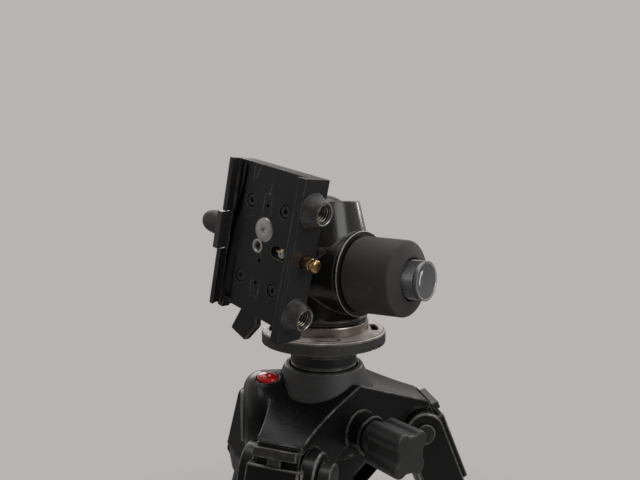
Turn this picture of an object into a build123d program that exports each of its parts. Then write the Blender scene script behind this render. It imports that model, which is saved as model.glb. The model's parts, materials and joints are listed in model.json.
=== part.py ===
from build123d import *
import os
from math import cos, radians, sin

os.makedirs("parts", exist_ok=True)

# Sizes are in millimetres and angles in degrees. The origin is on the floor, under the column.

# Fits between pieces
running_gap = 0.3
pin_fit = 0.05
slide_fit = 0.25

# Stance: three legs, sections pushed home
leg_angles = (-90, 30, 150)
leg_reach = 600.0
leg_spread = 22.0
pivot_radius = 62.0
pivot_drop = 66.0
pivot_z = leg_reach * cos(radians(leg_spread))
plate_z = pivot_z + pivot_drop

# Column and its top plate
plate_radius = 40.0
plate_thickness = 7.7
plate_edge = 1.2
plate_slot_radius = 33.0
plate_slot_width = 4.5
plate_slot_arc = 22.0
plate_slot_turn = 27.0
neck_radius = 21.4
neck_length = 24.0
neck_groove = 1.0
column_radius = 16.0
column_wall = 2.0
column_length = 290.0
stud_radius = 4.76
stud_rise = 12.0
end_cap_radius = 19.0
end_cap_height = 14.0
hook_radius = 9.0
hook_wire = 2.0

# Shoulder casting, heights measured from the leg pivots
crown_top = 40.0
crown_bottom = -10.0
arm_width = 28.0
arm_overhang = 5.5
arm_reach = pivot_radius + arm_overhang
arm_end_z = 17.4
arm_slope = 16.2
arm_scallop = 95.0
arm_corner = 2.5
web_reach = 35.4
tongue_width = 26.0
tongue_radius = 12.0
stop_face = 13.5
sleeve_radius = 27.0
sleeve_bottom = -38.0
bush_radius = 22.2
collar_drop = 22.9
collar_radius = 25.4
collar_flare = 33.0
collar_seat_z = 25.0
arch_radius = 34.0
arch_top = 4.5

# Accessory boss with its cap, and the red release button on top of it
socket_angle = 210.0
socket_z = 11.0
socket_radius = 27.4
socket_mouth = 17.6
socket_crown = 40.0
socket_reach = 51.8
cap_radius = 16.1
cap_thickness = 2.2
button_reach = 37.0
button_lean = 15.0
button_long = 13.4
button_wide = 10.4
button_height = 6.0
button_proud = 2.0
button_travel = 1.5

# Wing knob that locks the column
wing_angle = -30.0
wing_z = 9.0
wing_boss_radius = 12.0
wing_boss_reach = 46.0
wing_front = 76.0
wing_depth = 24.0
wing_lobes = 4
wing_lobe_radius = 5.4
wing_lobe_offset = 9.8
wing_hub_radius = 10.6
wing_valley = 3.0
wing_turn = 38.0
wing_stud_radius = 4.0

# Leg head, ears and angle catch, measured along the leg from its pivot
ear_radius = 13.0
ear_gap = 27.0
ear_span = 44.0
bolt_radius = 5.0
bolt_head_sides = (1, 1, -1)
bolt_head_radius = 8.5
bolt_head_height = 7.0
bolt_nut_radius = 6.5
bolt_nut_height = 1.0
web_inner = 12.4
web_outer = 17.5
web_top = -3.0
catch_top = -11.5
catch_travel = 3.2
catch_stem = 8.0
catch_stem_end = 12.0
socket_start = 18.0
socket_shoulder = 44.0
socket_end = 66.0
socket_wall = 3.5

# Leg tubes, clamps and feet
upper_radius = 14.6
middle_radius = 12.6
lower_radius = 10.6
tube_wall = 1.5
upper_start = 34.0
upper_short = 100.0
upper_end = leg_reach - upper_short
middle_start = 70.0
middle_short = 55.0
middle_end = leg_reach - middle_short
lower_start = 95.0
lower_short = 16.0
lower_end = leg_reach - lower_short
clamp_height = 42.0
clamp_wall = 4.5
clamp_grip = 20.0
lever_thickness = 3.4
lever_sweep = 150.0
lever_height = 24.0
lever_barrel = 4.0
lever_pin = 2.0
foot_height = 31.0
foot_start = leg_reach - foot_height
foot_radius = 15.0
foot_lip = 1.5

# Ball head, heights measured from the plate
head_turn = -19.7
base_radius = 29.0
base_height = 6.2
post_radius = 9.0
post_top = 16.0
housing_foot = 28.0
housing_foot_top = 9.5
foot_sweep = 13.5
waist_radius = 23.0
waist_z = 21.0
shoulder_radius = 29.5
shoulder_z = 54.0
rim_radius = 22.8
rim_z = 82.0
rim_wall = 2.0
ball_z = 65.7
ball_radius = 20.0
lip_rise = 8.0
stem_radius = 8.0
notch_gap = 0.6
seat_radius = 12.9
seat_bottom = 44.0
drum_z = 37.7
boss_radius = 25.4
boss_reach = 28.3
ring_radius = 26.2
ring_width = 3.0
spindle_radius = 5.0
spindle_start = 6.0
grip_start = 32.1
grip_end = 65.05
grip_root_radius = 23.2
grip_end_radius = 22.1
grip_wall = 4.0
grip_edge = 4.5
dial_well_radius = 14.6
dial_well_floor = 52.0
dial_radius = 11.33
dial_end = 74.9
dial_edge = 0.8
dial_stem_radius = 4.0
dial_stem_start = 44.0
pan_knob_angle = 135.0
pan_knob_z = 16.0
pan_knob_radius = 9.0
pan_knob_start = 28.6
pan_knob_end = 42.0
pan_stud_radius = 3.0
pan_stud_start = 15.0

# Plate clamp: drop is the tilt from upright, spin the turn about the stem
drop = 90.0
spin = 13.8
flange_radius = 22.0
flange_thickness = 7.2
deck_back = 40.5
deck_thickness = 12.1
rail_height = 6.7
deck_width = 62.6
deck_length = 92.5
deck_offset = -10.5
floor_end = -41.0
rail_lip = 25.2
rail_root = 27.7
far_rail_lip = -26.6
far_rail_root = -28.3
far_upper_start = 14.5
far_lower_start = -9.0
far_lower_end = -44.0
guide_groove_depth = 3.0
guide_groove_one = -26.0
guide_groove_two = -21.6
guide_groove_width = 2.4
roller_groove = 4.3
roller_groove_w = -23.3
handle_boss_root = 9.3
handle_boss_end = 8.2
handle_boss_length = 8.4
handle_boss_u = 29.5
handle_thread_radius = 4.76
handle_thread_depth = 11.0
handle_thread_chamfer = 0.9
jaw_low = -8.5
jaw_high = 14.0
jaw_inner = -26.6
jaw_proud = 2.5
jaw_bottom = 44.3
jaw_travel = 3.0
jaw_pin_radius = 2.0
jaw_pin_end = -12.0
jaw_knob_radius = 6.3
jaw_knob_u = 3.0
jaw_knob_n = 50.0
jaw_knob_length = 19.0
lever_pivot_w = -10.0
lever_pivot_u = -28.0
lever_pivot_radius = 6.0
lever_plate = 5.0
lever_room = 6.2
lever_room_width = 27.0
lever_bolt_rise = 3.0
lever_bolt_radius = 2.5
pin_u = 1.0
pin_drop = 3.7
pin_radius = 3.3
pin_proud = 10.0
pin_travel = 4.0
pin_rod_radius = 2.0
pin_rod_end = 10.0
catch_w = 16.3
catch_stud_radius = 2.6
catch_slot_length = 12.0
catch_slot_width = 7.0
screw_w = 14.0
screw_high = 24.5
screw_low = -21.5
screw_head_radius = 3.5
screw_head_height = 4.0
screw_bore_radius = 4.1
screw_bore_depth = 4.6
screw_shank_radius = 2.0
screw_shank_length = 5.0
fixing_head_radius = 7.1
fixing_head_height = 3.0
fixing_shank_radius = 4.0
twist_w = -2.6
twist_u = 0.2
twist_head_radius = 3.2
twist_head_height = 2.6
twist_shank_radius = 2.0
register_hole_radius = 1.2
register_hole_depth = 4.0

# Reference planes
up = Vector(0, 0, 1)


def radial(angle):
    """Unit vector outwards from the column at an angle round it."""
    return Vector(cos(radians(angle)), sin(radians(angle)), 0)


def tangent(angle):
    """Unit vector round the column at an angle, square to the radial one."""
    return Vector(-sin(radians(angle)), cos(radians(angle)), 0)


def spoke(angle, height, reach=0.0):
    """Plane facing outwards from the column: x runs round it, y is up."""
    origin = radial(angle) * reach + up * height
    return Plane(origin=origin, x_dir=tangent(angle), z_dir=radial(angle))


def leg_down(angle):
    """Direction down a leg."""
    return radial(angle) * sin(radians(leg_spread)) - up * cos(radians(leg_spread))


def leg_out(angle):
    """Direction square to a leg, away from the column."""
    return radial(angle) * cos(radians(leg_spread)) + up * sin(radians(leg_spread))


def leg_section(angle, distance):
    """Plane across a leg: x runs round the column, y faces outwards."""
    origin = radial(angle) * pivot_radius + up * pivot_z + leg_down(angle) * distance
    return Plane(origin=origin, x_dir=tangent(angle), z_dir=leg_down(angle))


def leg_side(angle, offset):
    """Plane along a leg through its pivot: x faces outwards, y runs down the leg."""
    origin = radial(angle) * pivot_radius + up * pivot_z + tangent(angle) * offset
    return Plane(origin=origin, x_dir=leg_out(angle), z_dir=tangent(angle))


def arm_side(angle, offset):
    """Upright plane along an arm: x is the distance from the column, y the height over the pivots."""
    origin = up * pivot_z + tangent(angle) * offset
    return Plane(origin=origin, x_dir=radial(angle), z_dir=-tangent(angle))


column_axis = Axis((0, 0, 0), (0, 0, 1))
socket_axis = Axis(up * (pivot_z + socket_z), radial(socket_angle))
button_up = up * cos(radians(button_lean)) + tangent(socket_angle) * sin(radians(button_lean))
button_centre = socket_axis.position + radial(socket_angle) * button_reach + button_up * socket_radius
button_plane = Plane(origin=button_centre, x_dir=radial(socket_angle), z_dir=button_up)
head = Plane(origin=up * plate_z, x_dir=radial(head_turn), z_dir=up)
head_front = Plane(origin=head.origin, x_dir=head.x_dir, z_dir=-head.y_dir)
head_axis = Axis(head.origin, head.z_dir)
drum = Plane(origin=head.origin + up * drum_z, x_dir=head.y_dir, z_dir=head.x_dir)
drum_front = Plane(origin=drum.origin, x_dir=head.x_dir, z_dir=-head.y_dir)
drum_axis = Axis(drum.origin, drum.z_dir)

ball_centre = head.origin + up * ball_z
stem_dir = up * cos(radians(drop)) - head.y_dir * sin(radians(drop))
stem_up = up * sin(radians(drop)) + head.y_dir * cos(radians(drop))
deck_across = head.x_dir * cos(radians(spin)) - stem_up * sin(radians(spin))
stem = Plane(origin=ball_centre, x_dir=deck_across, z_dir=stem_dir)
stem_side = Plane(origin=ball_centre, x_dir=deck_across, z_dir=-stem.y_dir)
stem_axis = Axis(ball_centre, stem_dir)
deck = Plane(origin=ball_centre + stem.y_dir * deck_offset, x_dir=deck_across, z_dir=stem_dir)


def deck_end(distance):
    """Plane across the deck, facing down its length: x is across, y is out of the deck."""
    return Plane(origin=deck.origin + deck.y_dir * distance, x_dir=deck.x_dir, z_dir=-deck.y_dir)


def deck_flank(distance):
    """Plane facing the handle-boss side of the deck: x is along it, y is out of the deck."""
    return Plane(origin=deck.origin + deck.x_dir * distance, x_dir=deck.y_dir, z_dir=deck.x_dir)


floor_n = deck_back + deck_thickness
rail_n = floor_n + rail_height
middle_n = (deck_back + rail_n) / 2
pin_n = floor_n - pin_drop
catch_floor_n = pin_n + pin_rod_radius / 2
half_width = deck_width / 2
half_length = deck_length / 2

# Shoulder casting: three arms with hollowed top faces, arched webs between them and a sleeve below
collar_top_z = pivot_drop - collar_drop
bush_top_z = pivot_drop - plate_thickness - neck_length - running_gap
with BuildPart() as shoulder_casting:
    with BuildSketch(Plane.XY.offset(pivot_z + crown_bottom)):
        with BuildLine():
            for angle in leg_angles:
                end_left = radial(angle) * arm_reach - tangent(angle) * arm_width / 2
                end_right = radial(angle) * arm_reach + tangent(angle) * arm_width / 2
                next_left = radial(angle + 120) * arm_reach - tangent(angle + 120) * arm_width / 2
                Line(end_left, end_right)
                ThreePointArc(end_right, radial(angle + 60) * web_reach, next_left)
        make_face()
    extrude(amount=crown_top - crown_bottom)
    fillet(shoulder_casting.edges().filter_by(Axis.Z), arm_corner)
    for angle in leg_angles:
        inwards = up * sin(radians(arm_slope)) - radial(angle) * cos(radians(arm_slope))
        face_normal = up * cos(radians(arm_slope)) + radial(angle) * sin(radians(arm_slope))
        face_end = radial(angle) * arm_reach + up * (pivot_z + arm_end_z)
        scallop = Plane(
            origin=face_end + face_normal * arm_scallop - inwards * arm_width,
            x_dir=tangent(angle),
            z_dir=inwards,
        )
        with BuildSketch(scallop):
            Circle(arm_scallop)
        extrude(amount=arm_width + 2 * arm_reach, mode=Mode.SUBTRACT)
    with BuildSketch(Plane.XY.offset(pivot_z + sleeve_bottom)):
        Circle(sleeve_radius)
    extrude(amount=crown_bottom - sleeve_bottom + tongue_radius)
    for angle in leg_angles:
        lean, rise = sin(radians(leg_spread)), cos(radians(leg_spread))
        tip = (pivot_radius + tongue_radius * rise, tongue_radius * lean)
        nose = (tip[0] - stop_face * lean, tip[1] + stop_face * rise)
        with BuildSketch(arm_side(angle, tongue_width / 2)):
            with BuildLine():
                Polyline((sleeve_radius - 5, crown_bottom), (pivot_radius, -tongue_radius))
                RadiusArc((pivot_radius, -tongue_radius), tip, -tongue_radius)
                Polyline(tip, nose, (sleeve_radius - 5, arm_end_z), (sleeve_radius - 5, crown_bottom))
            make_face()
        extrude(amount=tongue_width)
    ear_room = ear_radius + 4 * running_gap
    for angle in leg_angles:
        for side in (-1, 1):
            with BuildSketch(arm_side(angle, side * tongue_width / 2)):
                with Locations((pivot_radius, 0)):
                    Circle(ear_room)
                with Locations((pivot_radius, crown_bottom)):
                    Rectangle(2 * ear_room, -2 * crown_bottom)
            extrude(amount=-side * ear_span, mode=Mode.SUBTRACT)
        with BuildSketch(leg_side(angle, 0)):
            Circle(bolt_radius)
        extrude(amount=tongue_width, both=True, mode=Mode.SUBTRACT)
        with BuildSketch(spoke(angle + 60, pivot_z + arch_top - arch_radius, sleeve_radius)):
            Circle(arch_radius)
        extrude(amount=arm_reach, mode=Mode.SUBTRACT)
    with BuildSketch(arm_side(socket_angle, 0)):
        with BuildLine():
            Polyline(
                (socket_crown, socket_z + socket_radius),
                (bush_radius, socket_z + socket_radius),
                (bush_radius, socket_z),
                (socket_reach, socket_z),
                (socket_reach, socket_z + socket_mouth),
            )
            TangentArc(
                (socket_crown, socket_z + socket_radius),
                (socket_reach, socket_z + socket_mouth),
                tangent=(1, 0),
            )
        make_face()
    revolve(axis=socket_axis)
    with BuildSketch(spoke(wing_angle, pivot_z + wing_z, bush_radius)):
        Circle(wing_boss_radius)
    extrude(amount=wing_boss_reach - bush_radius)
    with BuildSketch(Plane.XY.offset(pivot_z + sleeve_bottom)):
        Circle(bush_radius)
    extrude(amount=crown_top - sleeve_bottom, mode=Mode.SUBTRACT)
    with BuildSketch(arm_side(leg_angles[0], 0)):
        with BuildLine():
            Polyline(
                (0, collar_seat_z),
                (collar_flare, collar_seat_z),
                (collar_radius, collar_top_z),
                (0, collar_top_z),
                close=True,
            )
        make_face()
    revolve(axis=column_axis, mode=Mode.SUBTRACT)
    with BuildSketch(spoke(wing_angle, pivot_z + wing_z)):
        Circle(wing_stud_radius + pin_fit)
    extrude(amount=wing_boss_reach, mode=Mode.SUBTRACT)
    with BuildSketch(spoke(socket_angle, pivot_z + socket_z, socket_reach - cap_thickness)):
        Circle(cap_radius)
    extrude(amount=cap_thickness, mode=Mode.SUBTRACT)
    with BuildSketch(button_plane.offset(button_proud - button_height - button_travel)):
        Ellipse(button_long / 2 + running_gap, button_wide / 2 + running_gap)
    extrude(amount=button_height + button_travel + button_proud, mode=Mode.SUBTRACT)
shoulder_casting.part.label = "shoulder_casting"
export_step(shoulder_casting.part, "parts/shoulder_casting.step")

# Flared collar in the mouth of the casting
with BuildPart() as column_collar:
    with BuildSketch(arm_side(leg_angles[0], 0)):
        with BuildLine():
            Polyline(
                (bush_radius + running_gap, collar_seat_z),
                (collar_flare, collar_seat_z),
                (collar_radius, collar_top_z),
                (bush_radius + running_gap, collar_top_z),
                close=True,
            )
        make_face()
    revolve(axis=column_axis)
    chamfer(column_collar.faces().sort_by(Axis.Z)[-1].outer_wire().edges(), 0.6)
column_collar.part.label = "column_collar"
export_step(column_collar.part, "parts/column_collar.step")

# Plastic bush that guides the column
with BuildPart() as column_bush:
    with BuildSketch(Plane.XY.offset(pivot_z + sleeve_bottom)):
        Circle(bush_radius)
        Circle(column_radius + slide_fit, mode=Mode.SUBTRACT)
    extrude(amount=bush_top_z - sleeve_bottom)
    with BuildSketch(spoke(wing_angle, pivot_z + wing_z)):
        Circle(wing_stud_radius + pin_fit)
    extrude(amount=wing_boss_reach, mode=Mode.SUBTRACT)
column_bush.part.label = "column_bush"
export_step(column_bush.part, "parts/column_bush.step")

# Cap over the accessory boss
with BuildPart() as socket_cap:
    with BuildSketch(spoke(socket_angle, pivot_z + socket_z, socket_reach - cap_thickness)):
        Circle(cap_radius)
    extrude(amount=2 * cap_thickness)
    chamfer(socket_cap.faces().sort_by(Axis(column_axis.position, radial(socket_angle)))[-1].edges(), 0.8)
socket_cap.part.label = "socket_cap"
export_step(socket_cap.part, "parts/socket_cap.step")

# Red release button in the top of the accessory boss
with BuildPart() as release_button:
    with BuildSketch(button_plane.offset(button_proud - button_height)):
        Ellipse(button_long / 2, button_wide / 2)
    extrude(amount=button_height)
    fillet(release_button.faces().sort_by(Axis(button_centre, button_up))[-1].edges(), 1.2)
release_button.part.label = "release_button"
export_step(release_button.part, "parts/release_button.step")

# Leg pivot bolts: one through each arm, with a tall head at one end and a flat nut at the other
with BuildPart() as pivot_bolts:
    for angle, head_side in zip(leg_angles, bolt_head_sides):
        with BuildSketch(leg_side(angle, -ear_span / 2 - running_gap)):
            Circle(bolt_radius)
        extrude(amount=ear_span + 2 * running_gap)
        with BuildSketch(leg_side(angle, head_side * (ear_span / 2 + running_gap))):
            Circle(bolt_head_radius)
        extrude(amount=head_side * bolt_head_height)
        with BuildSketch(leg_side(angle, -head_side * (ear_span / 2 + running_gap))):
            Circle(bolt_nut_radius)
        extrude(amount=-head_side * bolt_nut_height)
pivot_bolts.part.label = "pivot_bolts"
export_step(pivot_bolts.part, "parts/pivot_bolts.step")

# Wing knob on its stud, which presses on the column
with BuildPart() as column_lock_knob:
    with BuildSketch(spoke(wing_angle, pivot_z + wing_z, wing_front - wing_depth)) as wing_outline:
        Circle(wing_hub_radius)
        with PolarLocations(wing_lobe_offset, wing_lobes, start_angle=wing_turn):
            Circle(wing_lobe_radius)
        fillet(wing_outline.vertices(), wing_valley)
    extrude(amount=wing_depth)
    wing_out = Axis(column_axis.position, radial(wing_angle))
    fillet(column_lock_knob.faces().sort_by(wing_out)[-1].edges(), 1.6)
    with BuildSketch(spoke(wing_angle, pivot_z + wing_z, wing_boss_reach + running_gap)):
        Circle(wing_hub_radius - 1)
    extrude(amount=wing_front - wing_depth - wing_boss_reach)
    with BuildSketch(spoke(wing_angle, pivot_z + wing_z, column_radius + running_gap)):
        Circle(wing_stud_radius)
    extrude(amount=wing_front - wing_depth - column_radius)
column_lock_knob.part.label = "column_lock_knob"
export_step(column_lock_knob.part, "parts/column_lock_knob.step")

# Top plate with its neck: kidney slots through the plate, two grooves round the neck
with BuildPart() as top_plate:
    with BuildSketch(Plane.XY.offset(plate_z - plate_thickness)):
        Circle(plate_radius)
        slot_line = Edge.make_circle(plate_slot_radius, start_angle=0, end_angle=plate_slot_arc)
        with PolarLocations(0, 4, start_angle=plate_slot_turn):
            SlotArc(slot_line, plate_slot_width, mode=Mode.SUBTRACT)
    extrude(amount=plate_thickness)
    chamfer(top_plate.faces().sort_by(Axis.Z)[-1].outer_wire().edges(), plate_edge)
    with BuildSketch(Plane.XY.offset(plate_z - plate_thickness)):
        Circle(neck_radius)
    extrude(amount=-neck_length)
    for groove_height in (0.3, 0.6):
        with BuildSketch(Plane.XY.offset(plate_z - plate_thickness - neck_length * groove_height)):
            Circle(neck_radius + neck_groove)
            Circle(neck_radius - neck_groove, mode=Mode.SUBTRACT)
        extrude(amount=neck_groove, mode=Mode.SUBTRACT)
    with BuildSketch(Plane.XY.offset(plate_z - plate_thickness - neck_length)):
        Circle(column_radius)
    extrude(amount=neck_length - plate_thickness, mode=Mode.SUBTRACT)
    with BuildSketch(Plane.XY.offset(plate_z)):
        Circle(stud_radius)
    extrude(amount=-2 * plate_thickness, mode=Mode.SUBTRACT)
top_plate.part.label = "top_plate"
export_step(top_plate.part, "parts/top_plate.step")

# Threaded stud that holds the head
with BuildPart() as head_stud:
    with BuildSketch(Plane.XY.offset(plate_z - 2 * plate_thickness)):
        Circle(stud_radius)
    extrude(amount=2 * plate_thickness + stud_rise)
    chamfer(head_stud.faces().sort_by(Axis.Z)[-1].edges(), 0.8)
head_stud.part.label = "head_stud"
export_step(head_stud.part, "parts/head_stud.step")

# Column tube
column_top_z = plate_z - 2 * plate_thickness
column_bottom_z = plate_z - plate_thickness - neck_length - column_length
with BuildPart() as column_tube:
    with BuildSketch(Plane.XY.offset(column_bottom_z)):
        Circle(column_radius)
        Circle(column_radius - column_wall, mode=Mode.SUBTRACT)
    extrude(amount=column_top_z - column_bottom_z)
column_tube.part.label = "column_tube"
export_step(column_tube.part, "parts/column_tube.step")

# Cap with a weight hook at the foot of the column
with BuildPart() as column_end_cap:
    with BuildSketch(Plane.XY.offset(column_bottom_z)):
        Circle(end_cap_radius)
    extrude(amount=-end_cap_height)
    fillet(column_end_cap.faces().sort_by(Axis.Z)[0].edges(), 3)
    with BuildSketch(Plane.XY.offset(column_bottom_z)):
        Circle(column_radius - column_wall)
    extrude(amount=end_cap_height)
    hook_centre = up * (column_bottom_z - end_cap_height - hook_radius + 2 * hook_wire)
    with BuildSketch(Plane(origin=hook_centre + Vector(hook_radius, 0, 0), x_dir=(1, 0, 0), z_dir=(0, 0, 1))):
        Circle(hook_wire)
    revolve(axis=Axis(hook_centre, (0, 1, 0)))
column_end_cap.part.label = "column_end_cap"
export_step(column_end_cap.part, "parts/column_end_cap.step")

# Leg heads, catches, tubes, clamps, levers and feet
for leg, angle in enumerate(leg_angles, start=1):
    # Head casting: two round ears astride the tongue, a web in front and a socket for the tube
    with BuildPart() as leg_head:
        for side in (-1, 1):
            with BuildSketch(leg_side(angle, side * ear_gap / 2)):
                Circle(ear_radius)
                with Locations((0, socket_shoulder / 2)):
                    Rectangle(2 * ear_radius, socket_shoulder)
            extrude(amount=side * (ear_span - ear_gap) / 2)
        with BuildSketch(leg_section(angle, socket_start)):
            Rectangle(ear_span, 2 * ear_radius)
        extrude(amount=socket_shoulder - socket_start)
        with BuildSketch(leg_section(angle, socket_shoulder)):
            Rectangle(ear_span, 2 * ear_radius)
        with BuildSketch(leg_section(angle, socket_end)):
            Circle(upper_radius + socket_wall)
        loft()
        with BuildSketch(leg_section(angle, web_top)):
            with Locations((0, (web_inner + web_outer) / 2)):
                Rectangle(ear_span - ear_gap / 2, web_outer - web_inner)
        extrude(amount=socket_shoulder - web_top)
        with BuildSketch(leg_section(angle, web_top)):
            with Locations((0, (web_inner + web_outer) / 2)):
                Rectangle(catch_stem + 2 * running_gap, (web_outer - web_inner) / 2 + 2 * running_gap)
        extrude(amount=catch_stem_end + catch_travel - web_top + running_gap, mode=Mode.SUBTRACT)
        with BuildSketch(leg_section(angle, upper_start)):
            Circle(upper_radius)
        extrude(amount=socket_end - upper_start, mode=Mode.SUBTRACT)
        with BuildSketch(leg_side(angle, 0)):
            Circle(bolt_radius + pin_fit)
        extrude(amount=ear_span, both=True, mode=Mode.SUBTRACT)
    leg_head.part.label = f"leg_{leg}_head"
    export_step(leg_head.part, f"parts/leg_{leg}_head.step")

    # Angle catch: a lug that bears on the end of the arm, on a stem in the web
    with BuildPart() as leg_catch:
        with BuildSketch(leg_section(angle, catch_top)):
            with Locations((0, (web_inner + web_outer) / 2)):
                Rectangle(tongue_width - 2 * running_gap, web_outer - web_inner)
        extrude(amount=web_top - catch_travel - running_gap - catch_top)
        with BuildSketch(leg_section(angle, web_top - catch_travel - running_gap)):
            with Locations((0, (web_inner + web_outer) / 2)):
                Rectangle(catch_stem, (web_outer - web_inner) / 2)
        extrude(amount=catch_stem_end - web_top + catch_travel + running_gap)
    leg_catch.part.label = f"leg_{leg}_catch"
    export_step(leg_catch.part, f"parts/leg_{leg}_catch.step")

    # Three tubes, each inside the one above
    for section, radius, start, end in (
        ("upper", upper_radius, upper_start, upper_end),
        ("middle", middle_radius, middle_start, middle_end),
        ("lower", lower_radius, lower_start, lower_end),
    ):
        with BuildPart() as leg_tube:
            with BuildSketch(leg_section(angle, start)):
                Circle(radius)
                Circle(radius - tube_wall, mode=Mode.SUBTRACT)
            extrude(amount=end - start)
        leg_tube.part.label = f"leg_{leg}_{section}_tube"
        export_step(leg_tube.part, f"parts/leg_{leg}_{section}_tube.step")

    # A split clamp at the end of each outer tube, with a flip lever hinged on its lug
    for section, outer, inner, end in (
        ("upper", upper_radius, middle_radius, upper_end),
        ("middle", middle_radius, lower_radius, middle_end),
    ):
        clamp_radius = outer + clamp_wall
        clamp_top = end - clamp_height + clamp_grip
        barrel_t = clamp_radius + lever_barrel + 2 * running_gap
        lever_top = clamp_top + (clamp_height - lever_height) / 2
        with BuildPart() as leg_clamp:
            with BuildSketch(leg_section(angle, clamp_top)):
                Circle(clamp_radius)
                with Locations((barrel_t / 2, 0)):
                    Rectangle(barrel_t, 2 * lever_barrel)
                with Locations((barrel_t, 0)):
                    Circle(lever_barrel)
            extrude(amount=clamp_height)
            with BuildSketch(leg_section(angle, lever_top - running_gap)):
                with Locations((clamp_radius + 2 * lever_barrel, 0)):
                    Rectangle(4 * lever_barrel, 4 * lever_barrel)
            extrude(amount=lever_height + 2 * running_gap, mode=Mode.SUBTRACT)
            with BuildSketch(leg_section(angle, clamp_top)):
                with Locations((barrel_t, 0)):
                    Circle(lever_pin + pin_fit)
            extrude(amount=clamp_height, mode=Mode.SUBTRACT)
            with BuildSketch(leg_section(angle, clamp_top)):
                Circle(outer)
            extrude(amount=clamp_height - clamp_grip, mode=Mode.SUBTRACT)
            with BuildSketch(leg_section(angle, clamp_top)):
                Circle(inner + slide_fit)
            extrude(amount=clamp_height, mode=Mode.SUBTRACT)
        leg_clamp.part.label = f"leg_{leg}_{section}_clamp"
        export_step(leg_clamp.part, f"parts/leg_{leg}_{section}_clamp.step")

        with BuildPart() as leg_lever:
            lever_line = Edge.make_circle(
                clamp_radius + 2 * running_gap + lever_thickness / 2, start_angle=0, end_angle=lever_sweep
            )
            with BuildSketch(leg_section(angle, lever_top)):
                SlotArc(lever_line, lever_thickness)
                with Locations((barrel_t, 0)):
                    Circle(lever_barrel)
            extrude(amount=lever_height)
            with BuildSketch(leg_section(angle, clamp_top + 1)):
                with Locations((barrel_t, 0)):
                    Circle(lever_pin)
            extrude(amount=clamp_height - 2)
        leg_lever.part.label = f"leg_{leg}_{section}_lever"
        export_step(leg_lever.part, f"parts/leg_{leg}_{section}_lever.step")

    # Rubber foot, cut flat where it stands
    with BuildPart() as leg_foot:
        with BuildSketch(leg_section(angle, foot_start)):
            Circle(foot_radius)
        extrude(amount=leg_reach - foot_start + foot_radius)
        split(bisect_by=Plane.XY, keep=Keep.TOP)
        with BuildSketch(leg_section(angle, foot_start)):
            Circle(lower_radius)
        extrude(amount=lower_end - foot_start, mode=Mode.SUBTRACT)
    leg_foot.part.label = f"leg_{leg}_foot"
    export_step(leg_foot.part, f"parts/leg_{leg}_foot.step")

# Base of the ball head: a bronze ring with the post that the head turns on
with BuildPart() as head_base:
    with BuildSketch(head):
        Circle(base_radius)
    extrude(amount=base_height)
    chamfer(head_base.faces().sort_by(Axis.Z)[-1].edges(), 0.5)
    with BuildSketch(head.offset(base_height)):
        Circle(post_radius)
    extrude(amount=post_top - base_height)
    with BuildSketch(head):
        Circle(stud_radius)
    extrude(amount=post_top, mode=Mode.SUBTRACT)
head_base.part.label = "head_base"
export_step(head_base.part, "parts/head_base.step")

# Housing: a bell with a boss for the lock knob, a cup for the ball and a notch that the stem drops into
with BuildPart() as head_housing:
    with BuildSketch(head_front):
        with BuildLine():
            Polyline((0, rim_z), (0, base_height + running_gap), (housing_foot, base_height + running_gap))
            Line((housing_foot, base_height + running_gap), (housing_foot, housing_foot_top))
            RadiusArc((housing_foot, housing_foot_top), (waist_radius, waist_z), foot_sweep)
            RadiusArc((waist_radius, waist_z), (shoulder_radius, shoulder_z), 2 * shoulder_z)
            Polyline((shoulder_radius, shoulder_z), (rim_radius, rim_z), (0, rim_z))
        make_face()
    revolve(axis=head_axis)
    with BuildSketch(drum):
        Circle(boss_radius)
    extrude(amount=boss_reach)
    with BuildSketch(drum.offset(boss_reach)):
        Circle(ring_radius)
    extrude(amount=ring_width, mode=Mode.SUBTRACT)
    with BuildSketch(head_front):
        with BuildLine():
            mouth = (ball_radius**2 - lip_rise**2) ** 0.5
            Polyline((0, ball_z + lip_rise), (mouth, ball_z + lip_rise), (rim_radius - rim_wall, rim_z))
            Polyline((rim_radius - rim_wall, rim_z), (0, rim_z), (0, ball_z + lip_rise))
        make_face()
    revolve(axis=head_axis, mode=Mode.SUBTRACT)
    with Locations(ball_centre):
        Sphere(ball_radius + running_gap, mode=Mode.SUBTRACT)
    notch_floor = ball_z + (ball_radius + stem_radius) * cos(radians(drop))
    with BuildSketch(head_front) as notch_outline:
        with Locations((0, notch_floor)):
            Circle(stem_radius + notch_gap)
        with Locations((0, (notch_floor + rim_z) / 2)):
            Rectangle(2 * (stem_radius + notch_gap), rim_z - notch_floor)
    extrude(amount=shoulder_radius + 2 * stem_radius, mode=Mode.SUBTRACT)
    with BuildSketch(head.offset(seat_bottom)):
        Circle(seat_radius)
    extrude(amount=ball_z - seat_bottom - ball_radius / 2, mode=Mode.SUBTRACT)
    with BuildSketch(drum.offset(spindle_start - running_gap)):
        Circle(spindle_radius + pin_fit)
    extrude(amount=boss_reach, mode=Mode.SUBTRACT)
    with BuildSketch(head):
        Circle(post_radius + pin_fit)
    extrude(amount=post_top + running_gap, mode=Mode.SUBTRACT)
    pan_plane = spoke(head_turn + pan_knob_angle, plate_z + pan_knob_z)
    with BuildSketch(pan_plane.offset(pan_stud_start - running_gap)):
        Circle(pan_stud_radius + pin_fit)
    extrude(amount=pan_knob_end, mode=Mode.SUBTRACT)
head_housing.part.label = "head_housing"
export_step(head_housing.part, "parts/head_housing.step")

# Ring round the mouth of the boss
with BuildPart() as knob_seat_ring:
    with BuildSketch(drum.offset(boss_reach)):
        Circle(ring_radius)
        Circle(spindle_radius + pin_fit, mode=Mode.SUBTRACT)
    extrude(amount=ring_width)
knob_seat_ring.part.label = "knob_seat_ring"
export_step(knob_seat_ring.part, "parts/knob_seat_ring.step")

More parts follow.
